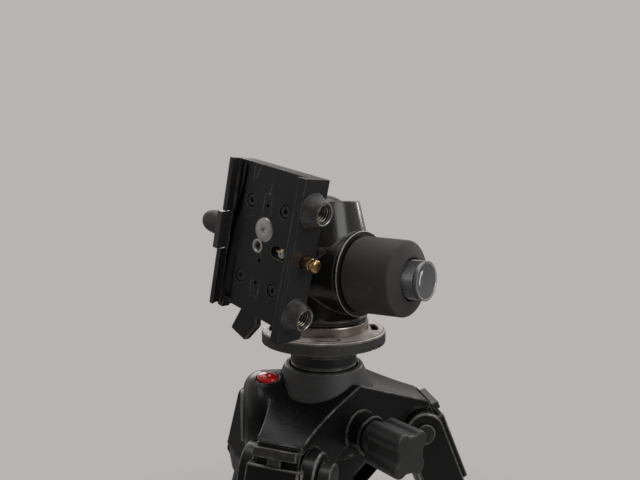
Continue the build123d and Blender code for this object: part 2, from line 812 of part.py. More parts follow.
# Dished seat under the ball
with BuildPart() as ball_seat:
    with BuildSketch(head.offset(seat_bottom)):
        Circle(seat_radius)
    extrude(amount=ball_z - seat_bottom - ball_radius / 2)
    with Locations(ball_centre):
        Sphere(ball_radius + running_gap, mode=Mode.SUBTRACT)
ball_seat.part.label = "ball_seat"
export_step(ball_seat.part, "parts/ball_seat.step")

# Ball with a flat and a socket for the stem
stem_flat = 0.88 * ball_radius
stem_root = -0.2 * ball_radius
with BuildPart() as ball:
    with Locations(ball_centre):
        Sphere(ball_radius)
    with BuildSketch(stem.offset(stem_flat)):
        Circle(ball_radius)
    extrude(amount=ball_radius, mode=Mode.SUBTRACT)
    with BuildSketch(stem.offset(stem_root)):
        Circle(spindle_radius + pin_fit)
    extrude(amount=2 * ball_radius, mode=Mode.SUBTRACT)
ball.part.label = "ball"
export_step(ball.part, "parts/ball.step")

# Stem with the round flange that carries the clamp
with BuildPart() as ball_stem:
    with BuildSketch(stem.offset(stem_root + running_gap)):
        Circle(spindle_radius)
    extrude(amount=stem_flat - stem_root)
    with BuildSketch(stem.offset(stem_flat + running_gap)):
        Circle(stem_radius)
    extrude(amount=deck_back - flange_thickness - stem_flat)
    with BuildSketch(stem.offset(deck_back - flange_thickness)):
        Circle(flange_radius)
    extrude(amount=flange_thickness)
    with BuildSketch(stem.offset(deck_back)):
        Circle(fixing_shank_radius)
    extrude(amount=-2 * flange_thickness, mode=Mode.SUBTRACT)
ball_stem.part.label = "ball_stem"
export_step(ball_stem.part, "parts/ball_stem.step")

# Spindle of the lock knob
core_start = boss_reach + ring_width + running_gap
with BuildPart() as clamp_spindle:
    with BuildSketch(drum.offset(spindle_start)):
        Circle(spindle_radius)
    extrude(amount=dial_stem_start - spindle_start)
clamp_spindle.part.label = "clamp_spindle"
export_step(clamp_spindle.part, "parts/clamp_spindle.step")

# Metal core of the lock knob, with a well for the friction dial
core_radius = grip_end_radius - grip_wall
grip_floor = grip_end - grip_wall
with BuildPart() as lock_knob_core:
    with BuildSketch(drum.offset(core_start)):
        Circle(core_radius)
    extrude(amount=grip_floor - core_start)
    with BuildSketch(drum.offset(core_start)):
        Circle(spindle_radius)
    extrude(amount=dial_stem_start - core_start, mode=Mode.SUBTRACT)
    with BuildSketch(drum.offset(dial_stem_start)):
        Circle(dial_stem_radius + pin_fit)
    extrude(amount=dial_well_floor - dial_stem_start, mode=Mode.SUBTRACT)
    with BuildSketch(drum.offset(dial_well_floor)):
        Circle(dial_well_radius)
    extrude(amount=grip_end - dial_well_floor, mode=Mode.SUBTRACT)
lock_knob_core.part.label = "lock_knob_core"
export_step(lock_knob_core.part, "parts/lock_knob_core.step")

# Rubber grip over the core
with BuildPart() as lock_knob_grip:
    with BuildSketch(drum_front):
        with BuildLine():
            Polyline(
                (grip_start, core_radius),
                (grip_start, grip_root_radius),
                (grip_end, grip_end_radius),
                (grip_end, dial_well_radius),
                (grip_floor, dial_well_radius),
                (grip_floor, core_radius),
                close=True,
            )
        make_face()
    revolve(axis=drum_axis)
    outer_rim = lock_knob_grip.edges().filter_by(GeomType.CIRCLE).sort_by(drum_axis)[-2:]
    fillet(outer_rim.sort_by(SortBy.LENGTH)[-1], grip_edge)
lock_knob_grip.part.label = "lock_knob_grip"
export_step(lock_knob_grip.part, "parts/lock_knob_grip.step")

# Friction dial in the well
with BuildPart() as friction_dial:
    with BuildSketch(drum.offset(dial_well_floor + running_gap)):
        Circle(dial_radius)
    extrude(amount=dial_end - dial_well_floor - running_gap)
    chamfer(friction_dial.edges().filter_by(GeomType.CIRCLE).sort_by(drum_axis)[-1], dial_edge)
    with BuildSketch(drum.offset(dial_stem_start + running_gap)):
        Circle(dial_stem_radius)
    extrude(amount=dial_well_floor - dial_stem_start)
friction_dial.part.label = "friction_dial"
export_step(friction_dial.part, "parts/friction_dial.step")

# Small knob at the back that locks panning
with BuildPart() as pan_lock_knob:
    with BuildSketch(pan_plane.offset(pan_knob_start)):
        Circle(pan_knob_radius)
    extrude(amount=pan_knob_end - pan_knob_start)
    pan_out = Axis(head.origin, pan_plane.z_dir)
    fillet(pan_lock_knob.edges().filter_by(GeomType.CIRCLE).sort_by(pan_out)[-1], 2)
    with BuildSketch(pan_plane.offset(pan_stud_start)):
        Circle(pan_stud_radius)
    extrude(amount=pan_knob_start - pan_stud_start)
pan_lock_knob.part.label = "pan_lock_knob"
export_step(pan_lock_knob.part, "parts/pan_lock_knob.step")

# Body of the plate clamp: a thick deck between a fixed near rail and a far rail in two lengths
with BuildPart() as clamp_body:
    with BuildSketch(deck.offset(deck_back)):
        Rectangle(deck_width, deck_length)
    extrude(amount=deck_thickness)
    with BuildSketch(deck_end(half_length)):
        with BuildLine():
            Polyline(
                (rail_lip, rail_n),
                (half_width, rail_n),
                (half_width, floor_n),
                (rail_root, floor_n),
                close=True,
            )
        make_face()
    extrude(amount=deck_length)
    for start, end in ((half_length, far_upper_start), (far_lower_start, far_lower_end)):
        with BuildSketch(deck_end(start)):
            with BuildLine():
                Polyline(
                    (-half_width, floor_n),
                    (-half_width, rail_n),
                    (far_rail_lip, rail_n),
                    (far_rail_root, (floor_n + rail_n) / 2),
                    (far_rail_root, floor_n),
                    close=True,
                )
            make_face()
        extrude(amount=start - end)
    with BuildSketch(deck.offset(deck_back)):
        with Locations((0, (floor_end - half_length) / 2)):
            Rectangle(2 * rail_lip, half_length + floor_end)
    extrude(amount=deck_thickness, mode=Mode.SUBTRACT)
    with BuildSketch(deck.offset(jaw_bottom - running_gap)):
        with Locations(((jaw_inner + running_gap - half_width) / 2, (jaw_low + jaw_high) / 2)):
            Rectangle(jaw_inner + running_gap + half_width, jaw_high - jaw_low + 2 * running_gap)
    extrude(amount=rail_n, mode=Mode.SUBTRACT)
    for groove in (guide_groove_one, guide_groove_two):
        with BuildSketch(deck.offset(floor_n)):
            with Locations((groove, (far_upper_start + half_length) / 2)):
                Rectangle(guide_groove_width, half_length - far_upper_start - 2 * guide_groove_width)
        extrude(amount=-guide_groove_depth, mode=Mode.SUBTRACT)
    with BuildSketch(deck_end(far_lower_start - guide_groove_width)):
        with Locations((roller_groove_w, floor_n)):
            Circle(roller_groove)
    extrude(amount=far_lower_start - floor_end - 2 * guide_groove_width, mode=Mode.SUBTRACT)
    for u in (handle_boss_u, -handle_boss_u):
        with BuildSketch(deck_flank(half_width)):
            with Locations((u, middle_n)):
                Circle(handle_boss_root)
        with BuildSketch(deck_flank(half_width + handle_boss_length)):
            with Locations((u, middle_n)):
                Circle(handle_boss_end)
        loft()
        with BuildSketch(deck_flank(half_width + handle_boss_length)):
            with Locations((u, middle_n)):
                Circle(handle_thread_radius)
        extrude(amount=-handle_thread_depth, mode=Mode.SUBTRACT)
    flank_axis = Axis(deck.origin, deck.x_dir)
    mouths = clamp_body.edges().filter_by(GeomType.CIRCLE).filter_by(
        lambda e: abs(e.radius - handle_thread_radius) < 0.01
    )
    chamfer(mouths.group_by(flank_axis)[-1], handle_thread_chamfer)
    for jaw_pin_u in (jaw_low + 3 * jaw_pin_radius, jaw_high - 3 * jaw_pin_radius):
        with BuildSketch(deck_flank(jaw_inner)):
            with Locations((jaw_pin_u, jaw_bottom + 2 * jaw_pin_radius)):
                Circle(jaw_pin_radius + pin_fit)
        extrude(amount=jaw_pin_end - jaw_inner + running_gap, mode=Mode.SUBTRACT)
    with BuildSketch(deck_flank(half_width)):
        with Locations((pin_u, pin_n)):
            Circle(pin_radius + pin_fit)
    extrude(amount=rail_lip - half_width, mode=Mode.SUBTRACT)
    with BuildSketch(deck_flank(half_width)):
        with Locations((pin_u, pin_n)):
            Circle(pin_rod_radius + pin_fit)
    extrude(amount=pin_rod_end - pin_travel - running_gap - half_width, mode=Mode.SUBTRACT)
    with BuildSketch(deck.offset(catch_floor_n)):
        with Locations((catch_w - pin_travel / 2, pin_u)):
            SlotOverall(catch_slot_length, catch_slot_width)
    extrude(amount=rail_n, mode=Mode.SUBTRACT)
    with BuildSketch(deck.offset(deck_back)):
        with BuildLine():
            Polyline(
                (-lever_room_width, -half_length),
                (-lever_room_width, lever_pivot_u),
                (lever_pivot_w, lever_pivot_u + 2 * lever_pivot_radius),
                (lever_room_width / 2, lever_pivot_u),
                (lever_room_width / 2, -half_length),
                close=True,
            )
        make_face()
    extrude(amount=lever_room, mode=Mode.SUBTRACT)
    with BuildSketch(deck.offset(deck_back)):
        with Locations((lever_pivot_w, lever_pivot_u)):
            Circle(lever_bolt_radius + pin_fit)
    extrude(amount=lever_room + lever_bolt_rise + running_gap, mode=Mode.SUBTRACT)
    with BuildSketch(deck.offset(floor_n - screw_bore_depth)):
        with Locations(*((w, u) for w in (-screw_w, screw_w) for u in (screw_high, screw_low))):
            Circle(screw_bore_radius)
    extrude(amount=screw_bore_depth, mode=Mode.SUBTRACT)
    with BuildSketch(deck.offset(floor_n - screw_bore_depth)):
        with Locations(*((w, u) for w in (-screw_w, screw_w) for u in (screw_high,))):
            Circle(screw_shank_radius)
    extrude(amount=-screw_shank_length, mode=Mode.SUBTRACT)
    with BuildSketch(deck.offset(floor_n - fixing_head_height)):
        with Locations((0, -deck_offset)):
            Circle(fixing_head_radius + running_gap)
    extrude(amount=fixing_head_height, mode=Mode.SUBTRACT)
    with BuildSketch(deck.offset(floor_n)):
        with Locations((0, -deck_offset)):
            Circle(fixing_shank_radius)
    extrude(amount=-deck_thickness, mode=Mode.SUBTRACT)
    with BuildSketch(deck.offset(floor_n - twist_head_height)):
        with Locations((twist_w, twist_u)):
            Circle(twist_head_radius + running_gap)
    extrude(amount=twist_head_height, mode=Mode.SUBTRACT)
    with BuildSketch(deck.offset(floor_n)):
        with Locations((twist_w, twist_u)):
            Circle(twist_shank_radius)
    extrude(amount=-deck_thickness, mode=Mode.SUBTRACT)
    with BuildSketch(deck.offset(floor_n)):
        with Locations((0, screw_high), (0, -2 * register_hole_depth), (0, screw_low)):
            Circle(register_hole_radius)
    extrude(amount=-register_hole_depth, mode=Mode.SUBTRACT)
clamp_body.part.label = "clamp_body"
export_step(clamp_body.part, "parts/clamp_body.step")

# Four socket screws in the deck
with BuildPart() as clamp_screws:
    for w in (-screw_w, screw_w):
        for u in (screw_high, screw_low):
            with BuildSketch(deck.offset(floor_n - screw_bore_depth)):
                with Locations((w, u)):
                    Circle(screw_head_radius)
            extrude(amount=screw_head_height)
            if u == screw_high:
                with BuildSketch(deck.offset(floor_n - screw_bore_depth)):
                    with Locations((w, u)):
                        Circle(screw_shank_radius)
                extrude(amount=-screw_shank_length)
clamp_screws.part.label = "clamp_screws"
export_step(clamp_screws.part, "parts/clamp_screws.step")

# Large screw that holds the clamp on the stem
with BuildPart() as fixing_screw:
    with BuildSketch(stem.offset(floor_n - fixing_head_height)):
        Circle(fixing_head_radius)
    extrude(amount=fixing_head_height)
    with BuildSketch(stem.offset(floor_n - fixing_head_height)):
        Circle(fixing_shank_radius)
    extrude(amount=deck_back - 2 * flange_thickness - floor_n + fixing_head_height)
fixing_screw.part.label = "fixing_screw"
export_step(fixing_screw.part, "parts/fixing_screw.step")

# Small screw that stops the clamp from turning
with BuildPart() as twist_screw:
    with BuildSketch(deck.offset(floor_n - twist_head_height)):
        with Locations((twist_w, twist_u)):
            Circle(twist_head_radius)
    extrude(amount=twist_head_height)
    with BuildSketch(deck.offset(floor_n - twist_head_height)):
        with Locations((twist_w, twist_u)):
            Circle(twist_shank_radius)
    extrude(amount=deck_back - floor_n + twist_head_height)
twist_screw.part.label = "twist_screw"
export_step(twist_screw.part, "parts/twist_screw.step")

# Moving jaw in the far rail, on two guide pins
with BuildPart() as clamp_jaw:
    with BuildSketch(deck_end(jaw_high)):
        with BuildLine():
            Polyline(
                (-half_width, jaw_bottom),
                (-half_width, rail_n + jaw_proud),
                (jaw_inner, rail_n + jaw_proud),
                (far_rail_root, (floor_n + rail_n) / 2),
                (far_rail_root, floor_n),
                (jaw_inner, floor_n),
                (jaw_inner, jaw_bottom),
                close=True,
            )
        make_face()
    extrude(amount=jaw_high - jaw_low)
    for jaw_pin_u in (jaw_low + 3 * jaw_pin_radius, jaw_high - 3 * jaw_pin_radius):
        with BuildSketch(deck_flank(jaw_inner)):
            with Locations((jaw_pin_u, jaw_bottom + 2 * jaw_pin_radius)):
                Circle(jaw_pin_radius)
        extrude(amount=jaw_pin_end - jaw_inner)
clamp_jaw.part.label = "clamp_jaw"
export_step(clamp_jaw.part, "parts/clamp_jaw.step")

# Domed thumb knob on the jaw
with BuildPart() as jaw_knob:
    with BuildSketch(deck_flank(-half_width)):
        with Locations((jaw_knob_u, jaw_knob_n)):
            Circle(jaw_knob_radius)
    extrude(amount=-jaw_knob_length)
    fillet(jaw_knob.edges().filter_by(GeomType.CIRCLE).sort_by(flank_axis)[0], 0.9 * jaw_knob_radius)
jaw_knob.part.label = "jaw_knob"
export_step(jaw_knob.part, "parts/jaw_knob.step")

# Lock lever under the foot of the deck
lever_n = deck_back + (lever_room - lever_plate) / 2
with BuildPart() as lock_lever:
    with BuildSketch(deck.offset(lever_n)) as lever_outline:
        with BuildLine():
            Polyline(
                (lever_pivot_w - lever_pivot_radius, lever_pivot_u),
                (-15, -43),
                (-22, -60),
                (-8, -63),
                (0, -51),
                (lever_pivot_w + lever_pivot_radius, lever_pivot_u),
                close=True,
            )
        make_face()
        fillet(lever_outline.vertices().sort_by(Axis(deck.origin, deck.y_dir))[:3], 1.5)
        with Locations((lever_pivot_w, lever_pivot_u)):
            Circle(lever_pivot_radius)
    extrude(amount=lever_plate)
    with BuildSketch(deck.offset(lever_n + lever_plate)):
        with Locations((lever_pivot_w, lever_pivot_u)):
            Circle(lever_bolt_radius)
    extrude(amount=lever_bolt_rise)
lock_lever.part.label = "lock_lever"
export_step(lock_lever.part, "parts/lock_lever.step")

# Brass safety pin with its rod and the catch stud in the deck slot
with BuildPart() as safety_pin:
    with BuildSketch(deck_flank(rail_lip + pin_travel + running_gap)):
        with Locations((pin_u, pin_n)):
            Circle(pin_radius)
    extrude(amount=half_width + pin_proud - rail_lip - pin_travel - running_gap)
    fillet(safety_pin.edges().filter_by(GeomType.CIRCLE).sort_by(flank_axis)[-1], 1.2)
    with BuildSketch(deck_flank(pin_rod_end)):
        with Locations((pin_u, pin_n)):
            Circle(pin_rod_radius)
    extrude(amount=rail_lip + pin_travel + running_gap - pin_rod_end)
    with BuildSketch(deck.offset(catch_floor_n + running_gap)):
        with Locations((catch_w, pin_u)):
            Circle(catch_stud_radius)
    extrude(amount=floor_n - catch_floor_n - running_gap)
safety_pin.part.label = "safety_pin"
export_step(safety_pin.part, "parts/safety_pin.step")
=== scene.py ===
import json
import bpy
from math import atan2, cos, pi, radians, sin
from mathutils import Matrix, Vector


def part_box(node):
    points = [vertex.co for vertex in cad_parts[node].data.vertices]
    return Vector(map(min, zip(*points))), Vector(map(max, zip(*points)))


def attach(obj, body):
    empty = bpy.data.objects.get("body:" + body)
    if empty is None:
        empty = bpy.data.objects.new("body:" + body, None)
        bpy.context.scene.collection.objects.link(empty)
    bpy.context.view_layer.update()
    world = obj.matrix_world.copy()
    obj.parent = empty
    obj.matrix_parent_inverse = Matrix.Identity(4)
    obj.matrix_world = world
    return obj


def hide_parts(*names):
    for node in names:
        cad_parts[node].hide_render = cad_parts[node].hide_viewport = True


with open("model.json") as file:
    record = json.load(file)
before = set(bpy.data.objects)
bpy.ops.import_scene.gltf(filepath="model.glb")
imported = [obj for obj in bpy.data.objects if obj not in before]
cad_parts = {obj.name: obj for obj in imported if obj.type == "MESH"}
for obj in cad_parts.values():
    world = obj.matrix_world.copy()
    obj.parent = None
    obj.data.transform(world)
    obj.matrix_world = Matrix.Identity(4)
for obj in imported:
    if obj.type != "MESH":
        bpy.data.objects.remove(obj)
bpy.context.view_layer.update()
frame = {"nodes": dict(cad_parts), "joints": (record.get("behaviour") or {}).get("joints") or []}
node = frame["nodes"]
joint = {entry["name"]: entry for entry in frame["joints"]}

# Shoulder casting: the crown of the tripod, one die casting in light alloy with three arms and a side boss.
# It is sprayed satin black over a fine cast skin, and the paint is rubbed thin in patches along the ridges of
# the arms; the rounded ridges are also painted lighter all along, as a painted highlight.
casting_colour = (0.0048, 0.0047, 0.0046, 1)
casting_rub_and_highlight_colour = (0.016, 0.0152, 0.0145, 1)
bare_alloy_colour = (0.34, 0.33, 0.31, 1)
casting_edge = 0.0011
merge_gap = 0.000002
flat_angle = 0.6
hairline_stretch = (1, 22, 22)
scratch_lift = 3
bare_metallic = 0.85


def feed(tree, target, value):
    """Links a socket to an input of a node, or sets the input to a plain value."""
    if isinstance(value, bpy.types.NodeSocket):
        tree.links.new(value, target)
    else:
        target.default_value = value


def add_node(tree, kind, settings=None, **inputs):
    """Adds a shader node with its settings and inputs."""
    new = tree.nodes.new(kind)
    for key, value in (settings or {}).items():
        setattr(new, key, value)
    for key, value in inputs.items():
        feed(tree, new.inputs[key.replace("_", " ")], value)
    return new


def start_group(name, inputs, outputs):
    """Starts a shader node group and returns its tree, its input node and its output node."""
    tree = bpy.data.node_groups.new(name, "ShaderNodeTree")
    for label, value in inputs.items():
        kind = "NodeSocketVector" if isinstance(value, tuple) else "NodeSocketFloat"
        tree.interface.new_socket(label, in_out="INPUT", socket_type=kind).default_value = value
    for label, kind in outputs.items():
        tree.interface.new_socket(label, in_out="OUTPUT", socket_type=kind)
    return tree, tree.nodes.new("NodeGroupInput"), tree.nodes.new("NodeGroupOutput")


def both(tree, one, other, operation="MULTIPLY"):
    """Combines two masks: by default, where both are one."""
    new = add_node(tree, "ShaderNodeMath", {"operation": operation, "use_clamp": True})
    tree.links.new(one, new.inputs[0])
    tree.links.new(other, new.inputs[1])
    return new.outputs[0]


def between(tree, value, low, high):
    """A mask that rises from nothing at low to one at high."""
    return add_node(tree, "ShaderNodeMapRange", Value=value, From_Min=low, From_Max=high).outputs[0]


def noise_space(tree, size):
    """Object coordinates, and how many features go to a metre at a size given in metres."""
    place = add_node(tree, "ShaderNodeTexCoord").outputs["Object"]
    per_metre = add_node(tree, "ShaderNodeMath", {"operation": "DIVIDE"})
    per_metre.inputs[0].default_value = 1
    tree.links.new(size, per_metre.inputs[1])
    return place, per_metre.outputs[0]


# Grain of a sprayed or moulded skin, as a normal; Size is the width of one grain in metres
skin_grain, grain_in, grain_out = start_group(
    "skin_grain", {"Size": 0.0005, "Depth": 0.2}, {"Normal": "NodeSocketVector"}
)
place, per_metre = noise_space(skin_grain, grain_in.outputs["Size"])
grain_noise = add_node(
    skin_grain, "ShaderNodeTexNoise", Vector=place, Scale=per_metre, Detail=3, Roughness=0.6
)
grain_bump = add_node(
    skin_grain,
    "ShaderNodeBump",
    Strength=grain_in.outputs["Depth"],
    Distance=grain_in.outputs["Size"],
    Height=grain_noise.outputs[0],
)
skin_grain.links.new(grain_bump.outputs["Normal"], grain_out.inputs["Normal"])

# Patches that hands and cases have rubbed, as a mask; Size is the width of a patch in metres
handling, handling_in, handling_out = start_group(
    "handling", {"Size": 0.02, "Cover": 0.5}, {"Mask": "NodeSocketFloat"}
)
place, per_metre = noise_space(handling, handling_in.outputs["Size"])
patches = add_node(handling, "ShaderNodeTexNoise", Vector=place, Scale=per_metre, Detail=8, Roughness=0.68)
patch_edge = between(handling, patches.outputs[0], 0.47, 0.68)
patch_cover = both(handling, patch_edge, handling_in.outputs["Cover"])
handling.links.new(patch_cover, handling_out.inputs["Mask"])

# Hairline scratches in two directions, as a mask; Size is the length of a scratch in metres
hairlines, hairline_in, hairline_out = start_group(
    "hairlines", {"Size": 0.02, "Cover": 0.5}, {"Mask": "NodeSocketFloat"}
)
place, per_metre = noise_space(hairlines, hairline_in.outputs["Size"])
hairline_marks = []
for turn in ((0.5, 0.9, 0.2), (1.1, 0.3, 2.1)):
    stretched = add_node(hairlines, "ShaderNodeMapping", Vector=place, Rotation=turn, Scale=hairline_stretch)
    streaks = add_node(
        hairlines, "ShaderNodeTexNoise", Vector=stretched.outputs[0], Scale=per_metre, Detail=1
    )
    hairline_marks.append(between(hairlines, streaks.outputs[0], 0.69, 0.74))
hairline_cover = both(hairlines, both(hairlines, *hairline_marks, "MAXIMUM"), hairline_in.outputs["Cover"])
hairlines.links.new(hairline_cover, hairline_out.inputs["Mask"])


def add_group(tree, group, **inputs):
    """Places a shader node group in a material with its own values."""
    new = tree.nodes.new("ShaderNodeGroup")
    new.node_tree = group
    for label, value in inputs.items():
        feed(tree, new.inputs[label], value)
    return new.outputs[0]


def mix_colour(tree, mask, under, over):
    """Colour under, with over where the mask is one; each is a colour or a socket."""
    new = add_node(tree, "ShaderNodeMix", {"data_type": "RGBA"})
    tree.links.new(mask, new.inputs[0])
    for slot, value in ((6, under), (7, over)):
        feed(tree, new.inputs[slot], value)
    return new.outputs[2]


def rescale(tree, value, low, high):
    """Maps a mask on to the span from low to high."""
    return add_node(tree, "ShaderNodeMapRange", Value=value, To_Min=low, To_Max=high).outputs[0]


def start_material(name):
    """Starts a material and returns it with its tree and its surface node."""
    material = bpy.data.materials.new(name)
    material.use_nodes = True
    return material, material.node_tree, material.node_tree.nodes["Principled BSDF"]


def finish(
    name, colour, rough, rub_colour=None,
    rub=(0.02, 0.5), grain=(0.0005, 0.15), scratch=0.3, metallic=0.0, shine=0.5,
):
    """A worn surface: its colour, its span of roughness, rubbed patches, hairlines and the grain of its skin.

    rub is the size of the patches and how far they cover, and grain is the size and depth of the skin.
    """
    material, tree, surface = start_material(name)
    rubbed = add_group(tree, handling, Size=rub[0], Cover=rub[1])
    scratched = add_group(tree, hairlines, Size=rub[0], Cover=scratch)
    rub_colour = rub_colour or colour
    scratch_colour = tuple(min(1, scratch_lift * part) for part in rub_colour[:3]) + (1,)
    worn = mix_colour(tree, rubbed, colour, rub_colour)
    shown = mix_colour(tree, scratched, worn, scratch_colour)
    tree.links.new(shown, surface.inputs["Base Color"])
    tree.links.new(rescale(tree, rubbed, *rough), surface.inputs["Roughness"])
    tree.links.new(add_group(tree, skin_grain, Size=grain[0], Depth=grain[1]), surface.inputs["Normal"])
    surface.inputs["Metallic"].default_value = metallic
    surface.inputs["Specular IOR Level"].default_value = shine
    return material


def overlay(material, mask, colour, rough=None, metallic=None):
    """Lays a further finish over a worn surface where the mask is one."""
    tree = material.node_tree
    surface = tree.nodes["Principled BSDF"]
    below = surface.inputs["Base Color"].links[0].from_socket
    tree.links.new(mix_colour(tree, mask, below, colour), surface.inputs["Base Color"])
    if rough is not None:
        dull = add_node(tree, "ShaderNodeMix", {"data_type": "FLOAT"})
        tree.links.new(mask, dull.inputs[0])
        tree.links.new(surface.inputs["Roughness"].links[0].from_socket, dull.inputs[2])
        dull.inputs[3].default_value = rough
        tree.links.new(dull.outputs[0], surface.inputs["Roughness"])
    if metallic is not None:
        tree.links.new(rescale(tree, mask, 0.0, metallic), surface.inputs["Metallic"])


def worn_edge(name, paint_colour, metal_colour, size, cover, rough=(0.4, 0.3)):
    """The rounded edges of a painted piece: paint that gives way to bare metal in patches."""
    material, tree, surface = start_material(name)
    bare = add_group(tree, handling, Size=size, Cover=cover)
    tree.links.new(mix_colour(tree, bare, paint_colour, metal_colour), surface.inputs["Base Color"])
    tree.links.new(rescale(tree, bare, 0.0, bare_metallic), surface.inputs["Metallic"])
    tree.links.new(rescale(tree, bare, *rough), surface.inputs["Roughness"])
    return material


def add_rounding(piece, width, segments, angle, edge_slot):
    """A bevel along the edges that are sharper than the angle, in the material of a slot."""
    rounding = piece.modifiers.new("rounding", "BEVEL")
    rounding.width = width
    rounding.segments = segments
    rounding.limit_method = "ANGLE"
    rounding.angle_limit = radians(angle)
    rounding.material = edge_slot
    return rounding


def dress(name, skin, edge, width, segments=2, angle=32):
    """Finishes a CAD node, or a copy shaped by hand, and rounds its sharp edges in the edge material."""
    piece = node[name] if isinstance(name, str) else name
    piece.data.materials.clear()
    piece.data.materials.append(skin)
    piece.data.materials.append(edge)
    weld = piece.modifiers.new("weld", "WELD")
    weld.merge_threshold = merge_gap
    plain = piece.modifiers.new("plain faces", "DECIMATE")
    plain.decimate_type = "DISSOLVE"
    plain.angle_limit = radians(flat_angle)
    rounding = add_rounding(piece, width, segments, angle, 1)
    rounding.use_clamp_overlap = False
    rounding.miter_outer = "MITER_ARC"
    shading = piece.modifiers.new("shading", "WEIGHTED_NORMAL")
    shading.weight = 80
    return piece


casting_paint = finish(
    "casting_paint", casting_colour, (0.27, 0.33), casting_rub_and_highlight_colour,
    rub=(0.03, 0.12), grain=(0.0009, 0.04), scratch=0.1, shine=0.4,
)
# Rounded ridges: a lighter paint colour as a painted highlight, with patches of bare alloy where the paint is
# worn through.
casting_ridge_wear_and_highlight = worn_edge("casting_ridge_wear_and_highlight", casting_rub_and_highlight_colour, bare_alloy_colour, 0.008, 0.35)
dress("shoulder_casting", casting_paint, casting_ridge_wear_and_highlight, casting_edge, 3)

# Collar and bush: the collar is a turned cone with a grainy black coat, pressed into the casting's mouth.
# The bush inside it is a plain moulded sleeve that the column slides in.
collar_colour = (0.03, 0.029, 0.0285, 1)
collar_paint = finish(
    "collar_paint", collar_colour, (0.5, 0.62), (0.05, 0.048, 0.046, 1),
    rub=(0.02, 0.3), grain=(0.00045, 0.35), scratch=0.15,
)
collar_lip = worn_edge("collar_lip", (0.05, 0.049, 0.047, 1), bare_alloy_colour, 0.006, 0.3)
dress("column_collar", collar_paint, collar_lip, 0.0005)
bush_plastic = finish("bush_plastic", (0.014, 0.014, 0.014, 1), (0.4, 0.5), grain=(0.0004, 0.05), scratch=0)
dress("column_bush", bush_plastic, bush_plastic, 0.0004)

# Cap over the accessory boss: a flat turned disc, pushed into the end of the boss.
# It has the same grainy coat as the collar, and its thin rim is rubbed bright.
cap_rim = worn_edge("cap_rim", (0.07, 0.069, 0.066, 1), (0.45, 0.44, 0.42, 1), 0.02, 0.8)
dress("socket_cap", collar_paint, cap_rim, 0.0004)

# Release button: a glossy red oval with a domed top, moulded in one piece.
# It stands in a well in the boss and is pressed down into it.
button_long = 0.0134
button_wide = 0.0104
button_height = 0.006
button_rise = 0.00256
button_lift = 0.0017
button_steps = 8


def begin():
    """Clears the selection, so that the next operator acts on the new piece alone."""
    if bpy.context.object and bpy.context.object.mode != "OBJECT":
        bpy.ops.object.mode_set(mode="OBJECT")
    bpy.ops.object.select_all(action="DESELECT")


def take(*pieces):
    """Selects finished pieces alone, with the first one active."""
    begin()
    for piece in pieces:
        piece.select_set(True)
    bpy.context.view_layer.objects.active = pieces[0]


def edit_all():
    """Opens the active piece in edit mode with all of it selected."""
    bpy.ops.object.mode_set(mode="EDIT")
    bpy.ops.mesh.select_all(action="SELECT")


def face_outwards():
    """Turns every face of the piece in edit mode outwards, and leaves edit mode."""
    bpy.ops.mesh.select_all(action="SELECT")
    bpy.ops.mesh.normals_make_consistent(inside=False)
    bpy.ops.object.mode_set(mode="OBJECT")


def turn_profile(name, profile, steps=64):
    """Spins a closed outline of (radius, height) points round the z axis into a solid."""
    begin()
    bpy.ops.mesh.primitive_circle_add(vertices=len(profile), fill_type="NOTHING")
    piece = bpy.context.object
    piece.name = name
    for vertex, (radius, height) in zip(piece.data.vertices, profile):
        vertex.co = (radius, 0, height)
    edit_all()
    bpy.ops.mesh.spin(steps=steps, angle=2 * pi, center=(0, 0, 0), axis=(0, 0, 1))
    bpy.ops.mesh.select_all(action="SELECT")
    bpy.ops.mesh.remove_doubles(threshold=merge_gap)
    face_outwards()
    return piece


def seat(piece, place):
    """Moves a finished piece from its own frame to its place, and keeps that place in its mesh."""
    take(piece)
    piece.matrix_world = place @ piece.matrix_world
    bpy.ops.object.transform_apply(location=True, rotation=True, scale=True)
    return piece


def round_edges(piece, width, segments=2, angle=30, edge_slot=-1):
    """Rounds the sharp edges of a new piece and shades it."""
    take(piece)
    add_rounding(piece, width, segments, angle, edge_slot)
    bpy.ops.object.modifier_apply(modifier="rounding")
    bpy.ops.object.shade_smooth_by_angle(angle=radians(angle))
    return piece


def paint(piece, *materials):
    """Gives a piece its materials, in the order of its slots."""
    for material in materials:
        piece.data.materials.append(material)


def stand(piece, body, slot, *stands_for):
    """Makes a piece ride on its body and stand for its CAD nodes; its slot is not used."""
    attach(piece, body)
    if stands_for:
        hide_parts(*stands_for)


def frame_at(origin, x_axis, z_axis):
    """The frame at an origin with its z axis and, as near as can be, its x axis along two directions."""
    upright = Vector(z_axis).normalized()
    side = upright.cross(Vector(x_axis)).normalized()
    turned = Matrix((side.cross(upright), side, upright)).transposed()
    return Matrix.Translation(Vector(origin)) @ turned.to_4x4()


def node_centre(name):
    """Middle of a CAD node's box."""
    low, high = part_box(name)
    return (low + high) / 2


